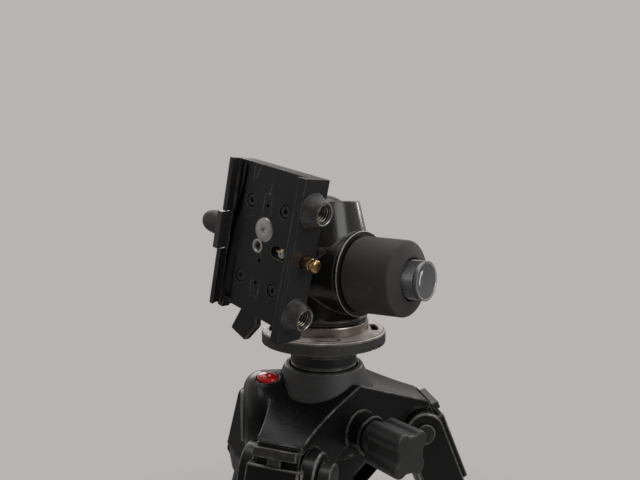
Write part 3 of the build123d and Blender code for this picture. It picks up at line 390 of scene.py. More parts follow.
button_up = -Vector(joint["release_press"]["axis"])
button_out = node_centre("socket_cap") - node_centre("shoulder_casting")
button_place = frame_at(node_centre("release_button"), (button_out.x, button_out.y, 0), button_up)
button_foot = button_lift - button_height / 2
button_shoulder = button_height / 2 - button_rise
button_profile = [(0, button_foot), (1, button_foot), (1, button_shoulder)]
for step in range(1, button_steps + 1):
    swing = step / button_steps * pi / 2
    reach = 0.86 * cos(swing) + 0.14 * cos(swing) ** 0.5 if step < button_steps else 0
    button_profile.append((reach, button_shoulder + button_rise * sin(swing)))
button_dome_piece = turn_profile("release_button_dome", button_profile, 48)
button_dome_piece.scale = (button_long / 2, button_wide / 2, 1)
seat(button_dome_piece, Matrix.Identity(4))
bpy.ops.object.shade_smooth_by_angle(angle=radians(35))
seat(button_dome_piece, button_place)
button_red = finish("button_red", (0.52, 0.012, 0.01, 1), (0.12, 0.2), grain=(0.002, 0.01), scratch=0)
button_red.node_tree.nodes["Principled BSDF"].inputs["Coat Weight"].default_value = 0.6
paint(button_dome_piece, button_red)
stand(button_dome_piece, "release_button", "button_red", "release_button")

# Leg pivot bolts: black steel, one through each arm and the ears of its leg.
# Each has a tall round head on one side and a flat nut on the other.
bolt_black = finish(
    "bolt_black", (0.016, 0.0155, 0.015, 1), (0.3, 0.42), (0.06, 0.058, 0.055, 1),
    rub=(0.01, 0.4), grain=(0.0006, 0.05), scratch=0.2,
)
bolt_rim = worn_edge("bolt_rim", (0.05, 0.049, 0.047, 1), bare_alloy_colour, 0.006, 0.6)
dress("pivot_bolts", bolt_black, bolt_rim, 0.0009, 3)

# Column lock knob: a moulded four-lobed grip, whose stud goes through the casting and presses on the column.
# The lobes' edges are polished by use, and the mould leaves a fine sparkle grain between them.
plastic_colour = (0.019, 0.0188, 0.0185, 1)
knob_plastic = finish(
    "knob_plastic", plastic_colour, (0.42, 0.55), (0.045, 0.044, 0.043, 1),
    rub=(0.015, 0.4), grain=(0.0004, 0.22), scratch=0.2,
)
knob_edge = worn_edge("knob_edge", (0.09, 0.088, 0.085, 1), (0.2, 0.195, 0.19, 1), 0.01, 0.6)
dress("column_lock_knob", knob_plastic, knob_edge, 0.0006)

# Column: a black anodised tube that slides up and down in the bush.
# A moulded cap with a hook for a weight closes its foot.
tube_black = finish(
    "tube_black", (0.02, 0.02, 0.021, 1), (0.3, 0.42), (0.06, 0.06, 0.06, 1),
    rub=(0.05, 0.5), grain=(0.0003, 0.04), scratch=0.8, metallic=0.55,
)
dress("column_tube", tube_black, tube_black, 0.0003)
dress("column_end_cap", collar_paint, collar_lip, 0.0004)

# Top plate with its neck: a turned alloy disc, coated black, its top rubbed to pale metal by the head and
# painted paler still as painted light falling on the top face.
# Four curved slots go through it, the neck below has two grooves, and a steel stud holds the head on it.
slot_turn = radians(-15)
notch_width = 0.0017
notch_height = 0.0019
notch_angles = (-21, -11, -141, -131, 99, 109)
rim_inside = 0.035
rim_depth = 0.004


def free_copy(name, piece_name):
    """A copy of a CAD node with its triangles merged into plain faces, ready to be shaped by hand."""
    piece = bpy.data.objects.new(piece_name, node[name].data.copy())
    bpy.context.scene.collection.objects.link(piece)
    take(piece)
    edit_all()
    bpy.ops.mesh.remove_doubles(threshold=merge_gap)
    bpy.ops.mesh.dissolve_limited(angle_limit=radians(flat_angle))
    bpy.ops.mesh.select_all(action="DESELECT")
    bpy.ops.object.mode_set(mode="OBJECT")
    return piece


def cut_away(piece, cutter):
    """Cuts one piece out of another and removes it."""
    take(piece)
    cut = piece.modifiers.new("cut", "BOOLEAN")
    cut.operation = "DIFFERENCE"
    cut.solver = "EXACT"
    cut.object = cutter
    bpy.ops.object.modifier_apply(modifier="cut")
    bpy.data.objects.remove(cutter)
    return piece


plate_low, plate_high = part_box("top_plate")
plate_top = plate_high.z
plate_radius = (plate_high.x - plate_low.x) / 2
worn_and_lit_top_colour = (0.86, 0.76, 0.7, 1)
plate_coat = finish(
    "plate_coat", (0.027, 0.0265, 0.026, 1), (0.45, 0.58), (0.05, 0.048, 0.045, 1),
    rub=(0.01, 0.4), grain=(0.0005, 0.4), scratch=0.2,
)
plate_tree = plate_coat.node_tree
plate_point = add_node(plate_tree, "ShaderNodeTexCoord").outputs["Object"]
plate_height = add_node(plate_tree, "ShaderNodeSeparateXYZ", Vector=plate_point).outputs["Z"]
# The top face: rubbed pale metal, painted brighter than the wear alone as painted light on the top.
on_top = between(plate_tree, plate_height, plate_top - 0.0011, plate_top - 0.0004)
top_rub = rescale(plate_tree, add_group(plate_tree, handling, Size=0.012, Cover=1.0), 0.6, 1.0)
overlay(plate_coat, both(plate_tree, on_top, top_rub), worn_and_lit_top_colour, 0.5, 0.1)
plate_edge = worn_edge("plate_edge", (0.06, 0.058, 0.055, 1), (0.4, 0.38, 0.34, 1), 0.006, 0.6)
plate_disc = free_copy("top_plate", "top_plate_disc")
plate_disc.rotation_euler = (0, 0, slot_turn)
seat(plate_disc, Matrix.Identity(4))
rim_heights = [vertex.co.z for vertex in plate_disc.data.vertices if vertex.co.xy.length > rim_inside]
disc_bottom = max(height for height in rim_heights if height < plate_top - rim_depth)
for angle in notch_angles:
    begin()
    rim_point = Vector((plate_radius, 0, 0))
    rim_point.rotate(Matrix.Rotation(radians(angle), 3, "Z"))
    rim_point.z = disc_bottom
    bpy.ops.mesh.primitive_cube_add(size=1, location=rim_point, rotation=(0, 0, radians(angle)))
    notch = bpy.context.object
    notch.scale = (2.4 * notch_width, notch_width, 2 * notch_height)
    cut_away(plate_disc, notch)
on_neck = between(plate_tree, plate_height, disc_bottom - 0.0004, disc_bottom - 0.0009)
overlay(plate_coat, on_neck, (0.007, 0.007, 0.0072, 1), 0.36)
dress(plate_disc, plate_coat, plate_edge, 0.0004)
stand(plate_disc, "column", "collar_black", "top_plate")
stud_steel = finish(
    "stud_steel", (0.5, 0.5, 0.48, 1), (0.28, 0.4), (0.4, 0.39, 0.37, 1),
    rub=(0.01, 0.5), grain=(0.0003, 0.05), scratch=0.2, metallic=1.0,
)
dress("head_stud", stud_steel, stud_steel, 0.0003)

# Base of the ball head: a bronze-coloured turned ring with the post that the housing turns on.
# The stud of the top plate holds it down.
bronze = finish(
    "bronze", (0.42, 0.355, 0.3, 1), (0.3, 0.42), (0.24, 0.16, 0.11, 1),
    rub=(0.014, 0.8), grain=(0.0004, 0.05), scratch=0.2, metallic=1.0,
)
bronze_edge = finish(
    "bronze_edge", (0.5, 0.44, 0.38, 1), (0.25, 0.35),
    grain=(0.0004, 0.03), scratch=0, metallic=1.0,
)
dress("head_base", bronze, bronze_edge, 0.0005)

# Legs, three alike: a cast head with two ears, an angle catch on top of it, and three anodised tubes that
# slide into each other. Moulded clamps with flip levers hold the tubes.
# A rubber foot is pushed on the lowest.
catch_paint = finish(
    "catch_paint", (0.017, 0.0165, 0.016, 1), (0.35, 0.5), (0.06, 0.058, 0.055, 1),
    rub=(0.01, 0.5), grain=(0.0005, 0.2), scratch=0.2,
)
leg_ridge = worn_edge("leg_ridge", (0.055, 0.053, 0.05, 1), bare_alloy_colour, 0.005, 0.55)
foot_rubber = finish(
    "foot_rubber", (0.016, 0.016, 0.016, 1), (0.7, 0.82), (0.05, 0.047, 0.043, 1),
    rub=(0.015, 0.6), grain=(0.0006, 0.3), scratch=0,
)
for leg in ("leg_1", "leg_2", "leg_3"):
    dress(leg + "_head", casting_paint, leg_ridge, 0.0012, 3)
    dress(leg + "_catch", catch_paint, leg_ridge, 0.0006)
    for section in ("upper", "middle", "lower"):
        dress(f"{leg}_{section}_tube", tube_black, tube_black, 0.0003)
    for section in ("upper", "middle"):
        dress(f"{leg}_{section}_clamp", knob_plastic, knob_edge, 0.0006)
        dress(f"{leg}_{section}_lever", knob_plastic, knob_edge, 0.0006)
    dress(leg + "_foot", foot_rubber, foot_rubber, 0.001)

# Housing of the ball head: one alloy casting, a bell with a cup for the ball and a boss for the lock knob.
# It has a glossy black coat, and a slot in the front that the stem of the ball drops into.
housing_gloss = finish(
    "housing_gloss", (0.011, 0.0105, 0.0095, 1), (0.2, 0.32), (0.02, 0.019, 0.017, 1),
    rub=(0.03, 0.4), grain=(0.0012, 0.03), scratch=0.2,
)
housing_edge = worn_edge("housing_edge", (0.035, 0.033, 0.03, 1), (0.3, 0.28, 0.24, 1), 0.008, 0.4)
dress("head_housing", housing_gloss, housing_edge, 0.0008, 3)
# The knob seat ring's rounded edges are painted pale as a painted highlight, with patches of bare metal wear.
ring_edge_wear_and_highlight = worn_edge("ring_edge_wear_and_highlight", (0.2, 0.195, 0.19, 1), (0.5, 0.49, 0.47, 1), 0.02, 0.9, (0.35, 0.25))
dress("knob_seat_ring", housing_gloss, ring_edge_wear_and_highlight, 0.0004)
dress("ball_seat", bush_plastic, bush_plastic, 0.0004)

# Ball and stem: the ball is turned and polished dark, and lies on the plastic seat in the cup.
# The stem with its flange is screwed into it and carries the clamp.
ball_polish = finish(
    "ball_polish", (0.05, 0.05, 0.05, 1), (0.2, 0.3), (0.08, 0.08, 0.08, 1),
    rub=(0.02, 0.5), grain=(0.0003, 0.02), scratch=0.3, metallic=0.8,
)
dress("ball", ball_polish, ball_polish, 0.0004)
dress("ball_stem", housing_gloss, housing_edge, 0.0006)

# Lock knob: a rubber sleeve moulded over a turned core, on the spindle that squeezes the ball.
# The sleeve has a crisp edge and a shallow cone at its end, with a well for the dial, and dust clings to it.
grip_edge = 0.0009
grip_cone = 0.0026
dial_gap = 0.0009
lip_depth = 0.009


def extent(name, place):
    """Lowest and highest corners of a CAD node in a frame of its own."""
    inside = place.inverted()
    points = [inside @ vertex.co for vertex in node[name].data.vertices]
    return [Vector([limit(p[i] for p in points) for i in range(3)]) for limit in (min, max)]


drum_axis = Vector(joint["main_lock_turn"]["axis"])
drum_place = frame_at(joint["main_lock_turn"]["pos_m"], (0, 0, 1), drum_axis)
grip_low, grip_high = extent("lock_knob_grip", drum_place)
core_high = extent("lock_knob_core", drum_place)[1]
dial_low, dial_high = extent("friction_dial", drum_place)
grip_root, grip_start, grip_end = grip_high.x, grip_low.z, grip_high.z
core_radius, dial_radius, dial_end = core_high.x, dial_high.x, dial_high.z
well_radius = dial_radius + dial_gap
grip_front = 0.953 * grip_root
sleeve_profile = [
    (well_radius, grip_end - lip_depth),
    (well_radius, grip_end + 0.0004),
    (well_radius + 0.0005, grip_end + 0.0009),
    (well_radius + 0.0014, grip_end + 0.0008),
    (grip_front - 1.1 * grip_edge, grip_end - grip_cone + 0.0006),
    (grip_front - 0.3 * grip_edge, grip_end - grip_cone),
    (grip_front, grip_end - grip_cone - grip_edge),
    (grip_root, grip_start + grip_edge),
    (grip_root - 0.4 * grip_edge, grip_start),
    (core_radius + 0.0003, grip_start),
    (core_radius + 0.0003, core_high.z + 0.0002),
    (well_radius + 0.0019, core_high.z + 0.0002),
    (well_radius + 0.0019, grip_end - lip_depth),
]
grip_rubber = finish(
    "grip_rubber", (0.043, 0.04, 0.039, 1), (0.62, 0.76), (0.07, 0.062, 0.058, 1),
    rub=(0.024, 0.7), grain=(0.00028, 0.35), scratch=0.12, shine=0.22,
)
sleeve = turn_profile("lock_knob_sleeve", sleeve_profile, 96)
paint(sleeve, grip_rubber)
round_edges(sleeve, 0.0004, 3, 14)
seat(sleeve, drum_place)
stand(sleeve, "main_lock", "grip_rubber", "lock_knob_grip")
core_dark = finish(
    "core_dark", (0.02, 0.02, 0.02, 1), (0.35, 0.45),
    grain=(0.0004, 0.05), scratch=0.1, metallic=0.6,
)
dress("lock_knob_core", core_dark, core_dark, 0.0004)
dress("clamp_spindle", stud_steel, stud_steel, 0.0003)

# Friction dial: a small anodised wheel in the end of the lock knob, with a diamond knurl rolled round it.
# Its end is a smooth turned disc behind a thin groove, with a bare rim and a white arrow printed on it.
knurl_columns = 144
knurl_rows = 34
knurl_depth = 0.00042
dial_disc = 0.0021
dial_neck = 0.0006
dial_stem = 0.004
dial_dish = 0.0002
arrow_radius = 0.67 * dial_radius
arrow_half_width = 0.055 * dial_radius
arrow_start, arrow_end, arrow_tip = radians(101), radians(52), radians(31)
arrow_barb = 2.4
arrow_steps = 12
ink = 0.00006


def join(name, *pieces):
    """Joins finished pieces into one object with the first one's materials before the others'."""
    take(*pieces)
    bpy.ops.object.join()
    pieces[0].name = name
    return pieces[0]


def cut_sheet(name, outline, thickness):
    """A flat sheet cut to an outline of (x, y) points."""
    begin()
    bpy.ops.mesh.primitive_circle_add(vertices=len(outline), fill_type="NGON")
    piece = bpy.context.object
    piece.name = name
    for vertex, (x, y) in zip(piece.data.vertices, outline):
        vertex.co = (x, y, 0)
    edit_all()
    bpy.ops.mesh.extrude_region_move(TRANSFORM_OT_translate={"value": (0, 0, thickness)})
    face_outwards()
    return piece


begin()
bpy.ops.mesh.primitive_grid_add(x_subdivisions=knurl_columns, y_subdivisions=knurl_rows, size=1)
knurl = bpy.context.object
knurl_start = core_high.z - lip_depth
knurl_end = dial_end - dial_disc - dial_neck
for vertex in knurl.data.vertices:
    column = round((vertex.co.x + 0.5) * knurl_columns)
    row = round((vertex.co.y + 0.5) * knurl_rows)
    radius = dial_radius - knurl_depth * ((column + row) % 2)
    turn = 2 * pi * column / knurl_columns
    height = knurl_start + (knurl_end - knurl_start) * row / knurl_rows
    vertex.co = (radius * cos(turn), radius * sin(turn), height)
edit_all()
bpy.ops.mesh.remove_doubles(threshold=0.00001)
bpy.ops.mesh.quads_convert_to_tris(quad_method="SHORTEST_DIAGONAL")
bpy.ops.mesh.fill_holes(sides=0)
face_outwards()
dial_grey = finish(
    "dial_grey", (0.19, 0.188, 0.196, 1), (0.38, 0.5), (0.24, 0.237, 0.244, 1),
    rub=(0.006, 0.5), grain=(0.0003, 0.05), scratch=0.3, metallic=0.75,
)
dial_rim = worn_edge("dial_rim", (0.35, 0.345, 0.34, 1), (0.62, 0.61, 0.6, 1), 0.01, 1.0, (0.3, 0.22))
# The knurl is painted lighter than the rest of the wheel, as painted light on the knurl in the well of the
# knob.
knurl_lit_grey = finish(
    "knurl_lit_grey", (0.4, 0.397, 0.405, 1), (0.26, 0.36), (0.2, 0.198, 0.2, 1),
    rub=(0.004, 0.5), grain=(0.0003, 0.03), scratch=0, metallic=0.9,
)
paint(knurl, knurl_lit_grey, dial_rim, dial_grey)
disc_profile = [
    (0, knurl_end - 0.001),
    (dial_radius - 0.0011, knurl_end - 0.001),
    (dial_radius - 0.0011, dial_end - dial_disc),
    (dial_radius - 0.0001, dial_end - dial_disc),
    (dial_radius - 0.0001, dial_end),
    (dial_radius - 0.0009, dial_end),
    (dial_radius - 0.0011, dial_end - dial_dish),
    (0, dial_end - dial_dish),
]
disc = turn_profile("dial_disc", disc_profile, 96)
paint(disc, dial_grey, dial_rim)
round_edges(disc, 0.00022, 2, 30, 1)
stem_top = knurl_start + 0.0004
stem_profile = [(0, dial_low.z), (dial_stem, dial_low.z), (dial_stem, stem_top), (0, stem_top)]
dial_rod = turn_profile("dial_rod", stem_profile, 32)
paint(dial_rod, dial_grey)
round_edges(dial_rod, 0.0003)
dial = join("friction_dial_wheel", knurl, disc, dial_rod)
seat(dial, drum_place)
stand(dial, "friction_dial", "dial_metal", "friction_dial")
arrow_outline = []
for way in (1, -1):
    for step in range(arrow_steps + 1)[::way]:
        turn = arrow_start + (arrow_end - arrow_start) * step / arrow_steps
        reach = arrow_radius + way * arrow_half_width
        arrow_outline.append((reach * cos(turn), reach * sin(turn)))
    if way == 1:
        for reach, turn in ((arrow_barb, arrow_end), (0, arrow_tip), (-arrow_barb, arrow_end)):
            far = arrow_radius + reach * arrow_half_width
            arrow_outline.append((far * cos(turn), far * sin(turn)))
arrow = cut_sheet("dial_arrow", arrow_outline, ink)
arrow_white = finish(
    "arrow_white", (0.62, 0.61, 0.6, 1), (0.5, 0.6), (0.35, 0.345, 0.34, 1),
    rub=(0.002, 0.5), scratch=0.1,
)
paint(arrow, arrow_white)
seat(arrow, drum_place @ Matrix.Translation((0, 0, dial_end - 0.00022)))
stand(arrow, "friction_dial", "dial_metal")

# Pan lock knob: a small round knob moulded in black plastic, at the back of the housing.
# Its stud sits in a hole in the wall of the housing.
dress("pan_lock_knob", knob_plastic, knob_edge, 0.0005)

# Clamp body: a thick milled deck with two dovetail rails and two threaded bosses for a handle.
# It is coated black, and sliding plates have worn the coat to brown metal at the top and scuffed the deck.
clamp_colour = (0.0165, 0.0157, 0.0168, 1)
clamp_scuff_colour = (0.02, 0.0188, 0.0188, 1)
deck_drop = -0.0105
deck_floor = 0.0526
deck_half_width = 0.0313
ball_centre = Vector(joint["ball_tilt"]["pos_m"])
deck_face = Vector(joint["ball_spin"]["axis"])
deck_across = -Vector(joint["jaw_open"]["axis"])
deck_along = deck_face.cross(deck_across)
deck_place = frame_at(ball_centre + deck_along * deck_drop, deck_across, deck_face)


def deck_frame(across, along, height, x_axis=deck_across, z_axis=deck_face):
    """A frame on the clamp, at a point given across the deck, along it and out from the ball."""
    return frame_at(deck_place @ Vector((across, along, height)), x_axis, z_axis)


boss_reach = 0.0397
boss_height = 0.0499
boss_along = 0.0295
boss_root = 0.0093
boss_mouth = 0.0067
boss_bore = 0.006
boss_skin = 0.0004
rail_corner = 0.0024
deck_half_length = 0.04625
touch = 0.0001
clamp_deck = free_copy("clamp_body", "clamp_deck")
into_deck = deck_place.inverted()
for vertex in clamp_deck.data.vertices:
    across, along, height = into_deck @ vertex.co
    off_axis = Vector((abs(along) - boss_along, height - boss_height))
    if across > deck_half_width - touch and boss_bore < off_axis.length < boss_root + 2 * touch:
        run = (across - deck_half_width) / (boss_reach - deck_half_width)
        inside = boss_root + (boss_mouth - boss_root) * run
        off_axis *= (inside - boss_skin) / off_axis.length
        side = 1 if along > 0 else -1
        vertex.co = deck_place @ Vector((across, side * (boss_along + off_axis.x), boss_height + off_axis.y))
for edge in clamp_deck.data.edges:
    ends = [into_deck @ clamp_deck.data.vertices[i].co for i in edge.vertices]
    upright = abs(ends[0].z - ends[1].z) > 0.9 * (ends[0] - ends[1]).length
    edge.select = upright and all(
        end.x < touch - deck_half_width
        and (abs(end.y) > deck_half_length - touch or end.z > deck_floor - touch)
        for end in ends
    )
bpy.ops.object.mode_set(mode="EDIT")
bpy.ops.mesh.select_mode(type="EDGE")
bpy.ops.mesh.bevel(offset=rail_corner, segments=5, affect="EDGES")
bpy.ops.object.mode_set(mode="OBJECT")

# Scored line in a coat, as a mask; Point runs from -1 to 1 along and across the line, and its z is the height
score_line, score_in, score_out = start_group(
    "score_line", {"Point": (0.0, 0.0, 0.0), "Cover": 0.8}, {"Mask": "NodeSocketFloat"}
)
score_sides = add_node(score_line, "ShaderNodeVectorMath", {"operation": "ABSOLUTE"})
score_line.links.new(score_in.outputs["Point"], score_sides.inputs[0])
score_parts = add_node(score_line, "ShaderNodeSeparateXYZ", Vector=score_sides.outputs[0])
score_far = both(score_line, score_parts.outputs["X"], score_parts.outputs["Y"], "MAXIMUM")
score_near = between(score_line, score_far, 0.99, 0.5)
score_place = add_node(score_line, "ShaderNodeTexCoord").outputs["Object"]
score_noise = add_node(score_line, "ShaderNodeTexNoise", Vector=score_place, Scale=900.0, Detail=3)
score_broken = between(score_line, score_noise.outputs[0], 0.36, 0.6)
score_floor = between(score_line, score_parts.outputs["Z"], deck_floor - 0.0009, deck_floor - 0.0003)
score_mask = both(score_line, both(score_line, score_near, score_broken), score_floor)
score_line.links.new(both(score_line, score_mask, score_in.outputs["Cover"]), score_out.inputs["Mask"])

# Each mark: where it starts and ends on the deck, across and along, its half width and how plain it shows
deck_marks = (
    ((-0.0146, 0.046), (-0.0145, 0.034), 0.00028, 0.9),
    ((-0.0095, 0.046), (-0.0132, 0.0358), 0.0003, 1.0),
    ((-0.0031, 0.0175), (-0.0030, 0.0315), 0.00032, 0.75),
    ((0.0032, 0.0178), (0.0031, 0.0312), 0.00032, 0.6),
    ((0.0002, 0.0295), (0.0016, 0.0385), 0.0004, 0.6),
    ((-0.0022, 0.031), (0.0024, 0.0318), 0.0006, 0.55),
    ((-0.0034, -0.0195), (-0.0033, -0.0295), 0.00032, 0.6),
    ((0.0034, -0.0195), (0.0034, -0.0295), 0.00032, 0.75),
    ((-0.0036, -0.0292), (0.0036, -0.0298), 0.0003, 0.6),
    ((0.0008, -0.0062), (0.0004, 0.0015), 0.0004, 0.6),
    ((0.0262, -0.036), (0.0264, 0.0445), 0.00022, 0.5),
    ((0.0292, -0.041), (0.0291, 0.02), 0.00022, 0.4),
    ((-0.0185, 0.0135), (-0.0075, 0.0172), 0.0003, 0.4),
)
clamp_coat = finish(
    "clamp_coat", clamp_colour, (0.38, 0.5), clamp_scuff_colour,
    rub=(0.012, 0.35), grain=(0.00035, 0.14), scratch=0.45, shine=0.32,
)
clamp_tree = clamp_coat.node_tree
clamp_point = add_node(
    clamp_tree,
    "ShaderNodeMapping",
    Vector=add_node(clamp_tree, "ShaderNodeTexCoord").outputs["Object"],
    Location=into_deck.translation,
    Rotation=into_deck.to_euler(),
).outputs[0]
marked = None
for (x0, y0), (x1, y1), half_width, cover in deck_marks:
    centred = add_node(
        clamp_tree,
        "ShaderNodeMapping",
        {"vector_type": "TEXTURE"},
        Vector=clamp_point,
        Location=((x0 + x1) / 2, (y0 + y1) / 2, 0),
        Rotation=(0, 0, atan2(y1 - y0, x1 - x0)),
        Scale=(Vector((x1 - x0, y1 - y0)).length / 2, half_width, 1),
    )
    mark = add_group(clamp_tree, score_line, Point=centred.outputs[0], Cover=cover)
    marked = both(clamp_tree, marked, mark, "MAXIMUM") if marked else mark
overlay(clamp_coat, marked, (0.2, 0.195, 0.19, 1), 0.55)
clamp_parts = add_node(clamp_tree, "ShaderNodeSeparateXYZ", Vector=clamp_point)
top_end = between(clamp_tree, clamp_parts.outputs["Y"], deck_half_length - 0.0006, deck_half_length - 0.0002)
end_rub = rescale(clamp_tree, add_group(clamp_tree, handling, Size=0.012, Cover=1.0), 0.25, 0.9)
overlay(clamp_coat, both(clamp_tree, top_end, end_rub), (0.085, 0.07, 0.058, 1), 0.45)
clamp_edge = worn_edge("clamp_edge", (0.03, 0.029, 0.0285, 1), (0.26, 0.235, 0.21, 1), 0.01, 0.6)
dress(clamp_deck, clamp_coat, clamp_edge, 0.00035)
stand(clamp_deck, "clamp", "clamp_black", "clamp_body")

# Handle bosses: two cast cones on the flank of the deck, rough under their coat, with the mouths faced bare.
# Coiled bronze-coloured wire threads are wound into them for a screwed handle.
thread_radius = 0.00476
thread_pitch = 0.0015875
thread_height = 0.00075
thread_turns = 5
insert_metal = finish(
    "insert_metal", (0.42, 0.36, 0.29, 1), (0.25, 0.38), (0.2, 0.14, 0.09, 1),
    rub=(0.003, 0.7), grain=(0.0003, 0.05), scratch=0.1, metallic=1.0,
)
rim_metal = finish(
    "rim_metal", (0.5, 0.49, 0.47, 1), (0.28, 0.4), (0.12, 0.115, 0.11, 1),
    rub=(0.004, 0.6), grain=(0.0003, 0.06), scratch=0.2, metallic=0.9,
)


def wire_thread(name):
    """A thread ridge wound round the z axis, standing inwards from the thread's radius."""
    begin()
    bpy.ops.mesh.primitive_circle_add(vertices=4, fill_type="NOTHING")
    piece = bpy.context.object
    piece.name = name
    tooth = (
        (thread_radius, 0),
        (thread_radius - thread_height, 0.4 * thread_pitch),
        (thread_radius - thread_height, 0.55 * thread_pitch),
        (thread_radius, 0.95 * thread_pitch),
    )
    for vertex, (radius, height) in zip(piece.data.vertices, tooth):
        vertex.co = (radius, 0, height)
    winding = piece.modifiers.new("winding", "SCREW")
    winding.axis = "Z"
    winding.screw_offset = thread_pitch
    winding.iterations = thread_turns
    winding.steps = winding.render_steps = 40
    bpy.ops.object.modifier_apply(modifier="winding")
    edit_all()
    bpy.ops.mesh.remove_doubles(threshold=0.000001)
    bpy.ops.mesh.fill_holes(sides=0)
    face_outwards()
    return piece


boss_length = boss_reach - deck_half_width
cone_profile = [
    (boss_root + 0.0005, -0.0003),
    (boss_root + 0.0005, 0.0001),
    (boss_root + 0.0001, 0.0004),
    (boss_root - 0.0002, 0.0011),
    (boss_mouth + 0.0001, boss_length - 0.0003),
    (boss_mouth - 0.0002, boss_length + 0.00005),
    (boss_mouth - 0.0008, boss_length + 0.00005),
    (boss_mouth - 0.0008, boss_length - 0.0006),
    (boss_root - 0.0008, -0.0001),
    (boss_root - 0.0008, -0.0003),
]
boss_cast = finish(
    "boss_cast", (0.03, 0.029, 0.0285, 1), (0.38, 0.52), (0.12, 0.116, 0.112, 1),
    rub=(0.006, 0.5), grain=(0.0008, 0.3), scratch=0.2,
)
rim_profile = [
    (thread_radius - 0.0001, -0.0012),
    (thread_radius + 0.0009, 0.00004),
    (thread_radius + 0.0013, 0.00006),
    (thread_radius + 0.0014, -0.0004),
    (thread_radius + 0.0005, -0.0014),
]
for end, along in (("upper", boss_along), ("lower", -boss_along)):
    insert = wire_thread("insert_" + end)
    paint(insert, insert_metal, rim_metal, boss_cast)
    seat(insert, Matrix.Translation((0, 0, -0.0012 - thread_pitch * (thread_turns + 1))))
    rim = turn_profile("rim_" + end, rim_profile, 48)
    paint(rim, rim_metal)
    round_edges(rim, 0.0001, 2, 40)
    cone = turn_profile("cone_" + end, cone_profile, 64)
    paint(cone, boss_cast)
    round_edges(cone, 0.0002, 2, 20)
    seat(cone, Matrix.Translation((0, 0, -boss_length)))
    boss = join("handle_boss_" + end, cone, insert, rim)
    seat(boss, deck_frame(boss_reach, along, boss_height, deck_along, deck_across))
    stand(boss, "clamp", "clamp_black")

# Deck screws: four cap screws of blackened steel, each with a hexagon socket.
# Their heads are sunk in the deck.
screw_across = 0.014
screw_rows = (0.0245, -0.0215)
screw_seat = 0.048
screw_radius = 0.0035
screw_height = 0.004
screw_shank = 0.002
screw_foot = -0.005
socket_radius = 0.0017
socket_depth = 0.0022
recess_turn = 0.35
recess_taper = (0.45, 0.6)


def cut_socket(piece, radius, top, depth):
    """Broaches a hexagon socket into the top of a screw."""
    begin()
    bpy.ops.mesh.primitive_cylinder_add(vertices=6, radius=radius, depth=2 * depth, location=(0, 0, top))
    return cut_away(piece, bpy.context.object)


def cut_cross(piece, reach, width, top, depth):
    """Presses a cross recess into the top of a screw: two slots whose walls lean inwards."""
    for turn in (recess_turn, recess_turn + pi / 2):
        begin()
        bpy.ops.mesh.primitive_cube_add(size=2, location=(0, 0, top), rotation=(0, 0, turn))
        bar = bpy.context.object
        bar.scale = (reach, width, depth)
        bpy.ops.object.mode_set(mode="EDIT")
        bpy.ops.mesh.select_all(action="DESELECT")
        bpy.ops.object.mode_set(mode="OBJECT")
        for vertex in bar.data.vertices:
            if vertex.co.z < 0:
                vertex.co.x *= recess_taper[0]
                vertex.co.y *= recess_taper[1]
        cut_away(piece, bar)
    return piece


screw_black = finish(
    "screw_black", (0.012, 0.0115, 0.0115, 1), (0.32, 0.45), (0.05, 0.048, 0.046, 1),
    rub=(0.004, 0.5), grain=(0.0003, 0.08), scratch=0.2,
)
screw_rim = worn_edge("screw_rim", (0.03, 0.029, 0.028, 1), (0.22, 0.21, 0.2, 1), 0.004, 0.7)
screw_profile = [
    (0, screw_foot),
    (screw_shank, screw_foot),
    (screw_shank, 0),
    (screw_radius, 0),
    (screw_radius, screw_height),
    (0, screw_height),
]
pattern_screw = turn_profile("deck_screw", screw_profile, 48)
paint(pattern_screw, screw_black, screw_rim)
cut_socket(pattern_screw, socket_radius, screw_height, socket_depth)
round_edges(pattern_screw, 0.0003, 2, 30, 1)
deck_screws = []
for across in (-screw_across, screw_across):
    for along in screw_rows:
        screw = pattern_screw.copy()
        screw.data = pattern_screw.data.copy()
        bpy.context.scene.collection.objects.link(screw)
        deck_screws.append(seat(screw, deck_frame(across, along, screw_seat)))
bpy.data.objects.remove(pattern_screw)
deck_screws = join("deck_screws", *deck_screws)
stand(deck_screws, "clamp", "steel", "clamp_screws")

# Fixing screw: a zinc-plated screw with a broad, slightly domed head and a cross recess.
# It holds the clamp on the stem of the ball.
fixing_along = -deck_drop
fixing_radius = 0.0071
fixing_shank = 0.004
fixing_seat = 0.0496
fixing_foot = 0.0261
fixing_top = deck_floor + 0.0007
fixing_profile = [
    (0, fixing_foot),
    (fixing_shank, fixing_foot),
    (fixing_shank, fixing_seat),
    (fixing_radius, fixing_seat),
    (fixing_radius, deck_floor - 0.0002),
    (fixing_radius - 0.0007, deck_floor + 0.0004),
    (fixing_radius - 0.0024, deck_floor + 0.0006),
    (0, fixing_top),
]
zinc = finish(
    "zinc", (0.56, 0.57, 0.56, 1), (0.32, 0.5), (0.36, 0.37, 0.36, 1),
    rub=(0.003, 0.6), grain=(0.0004, 0.2), scratch=0.3, metallic=0.85,
)
zinc_edge = worn_edge("zinc_edge", (0.62, 0.62, 0.61, 1), (0.7, 0.7, 0.69, 1), 0.004, 0.5, (0.4, 0.3))
fixing = turn_profile("fixing_screw_head", fixing_profile, 64)
paint(fixing, zinc, zinc_edge)
cut_cross(fixing, reach=0.0023, width=0.00055, top=fixing_top, depth=0.0017)
round_edges(fixing, 0.0002, 2, 25, 1)
seat(fixing, deck_frame(0, fixing_along, 0))
stand(fixing, "clamp", "steel", "fixing_screw")

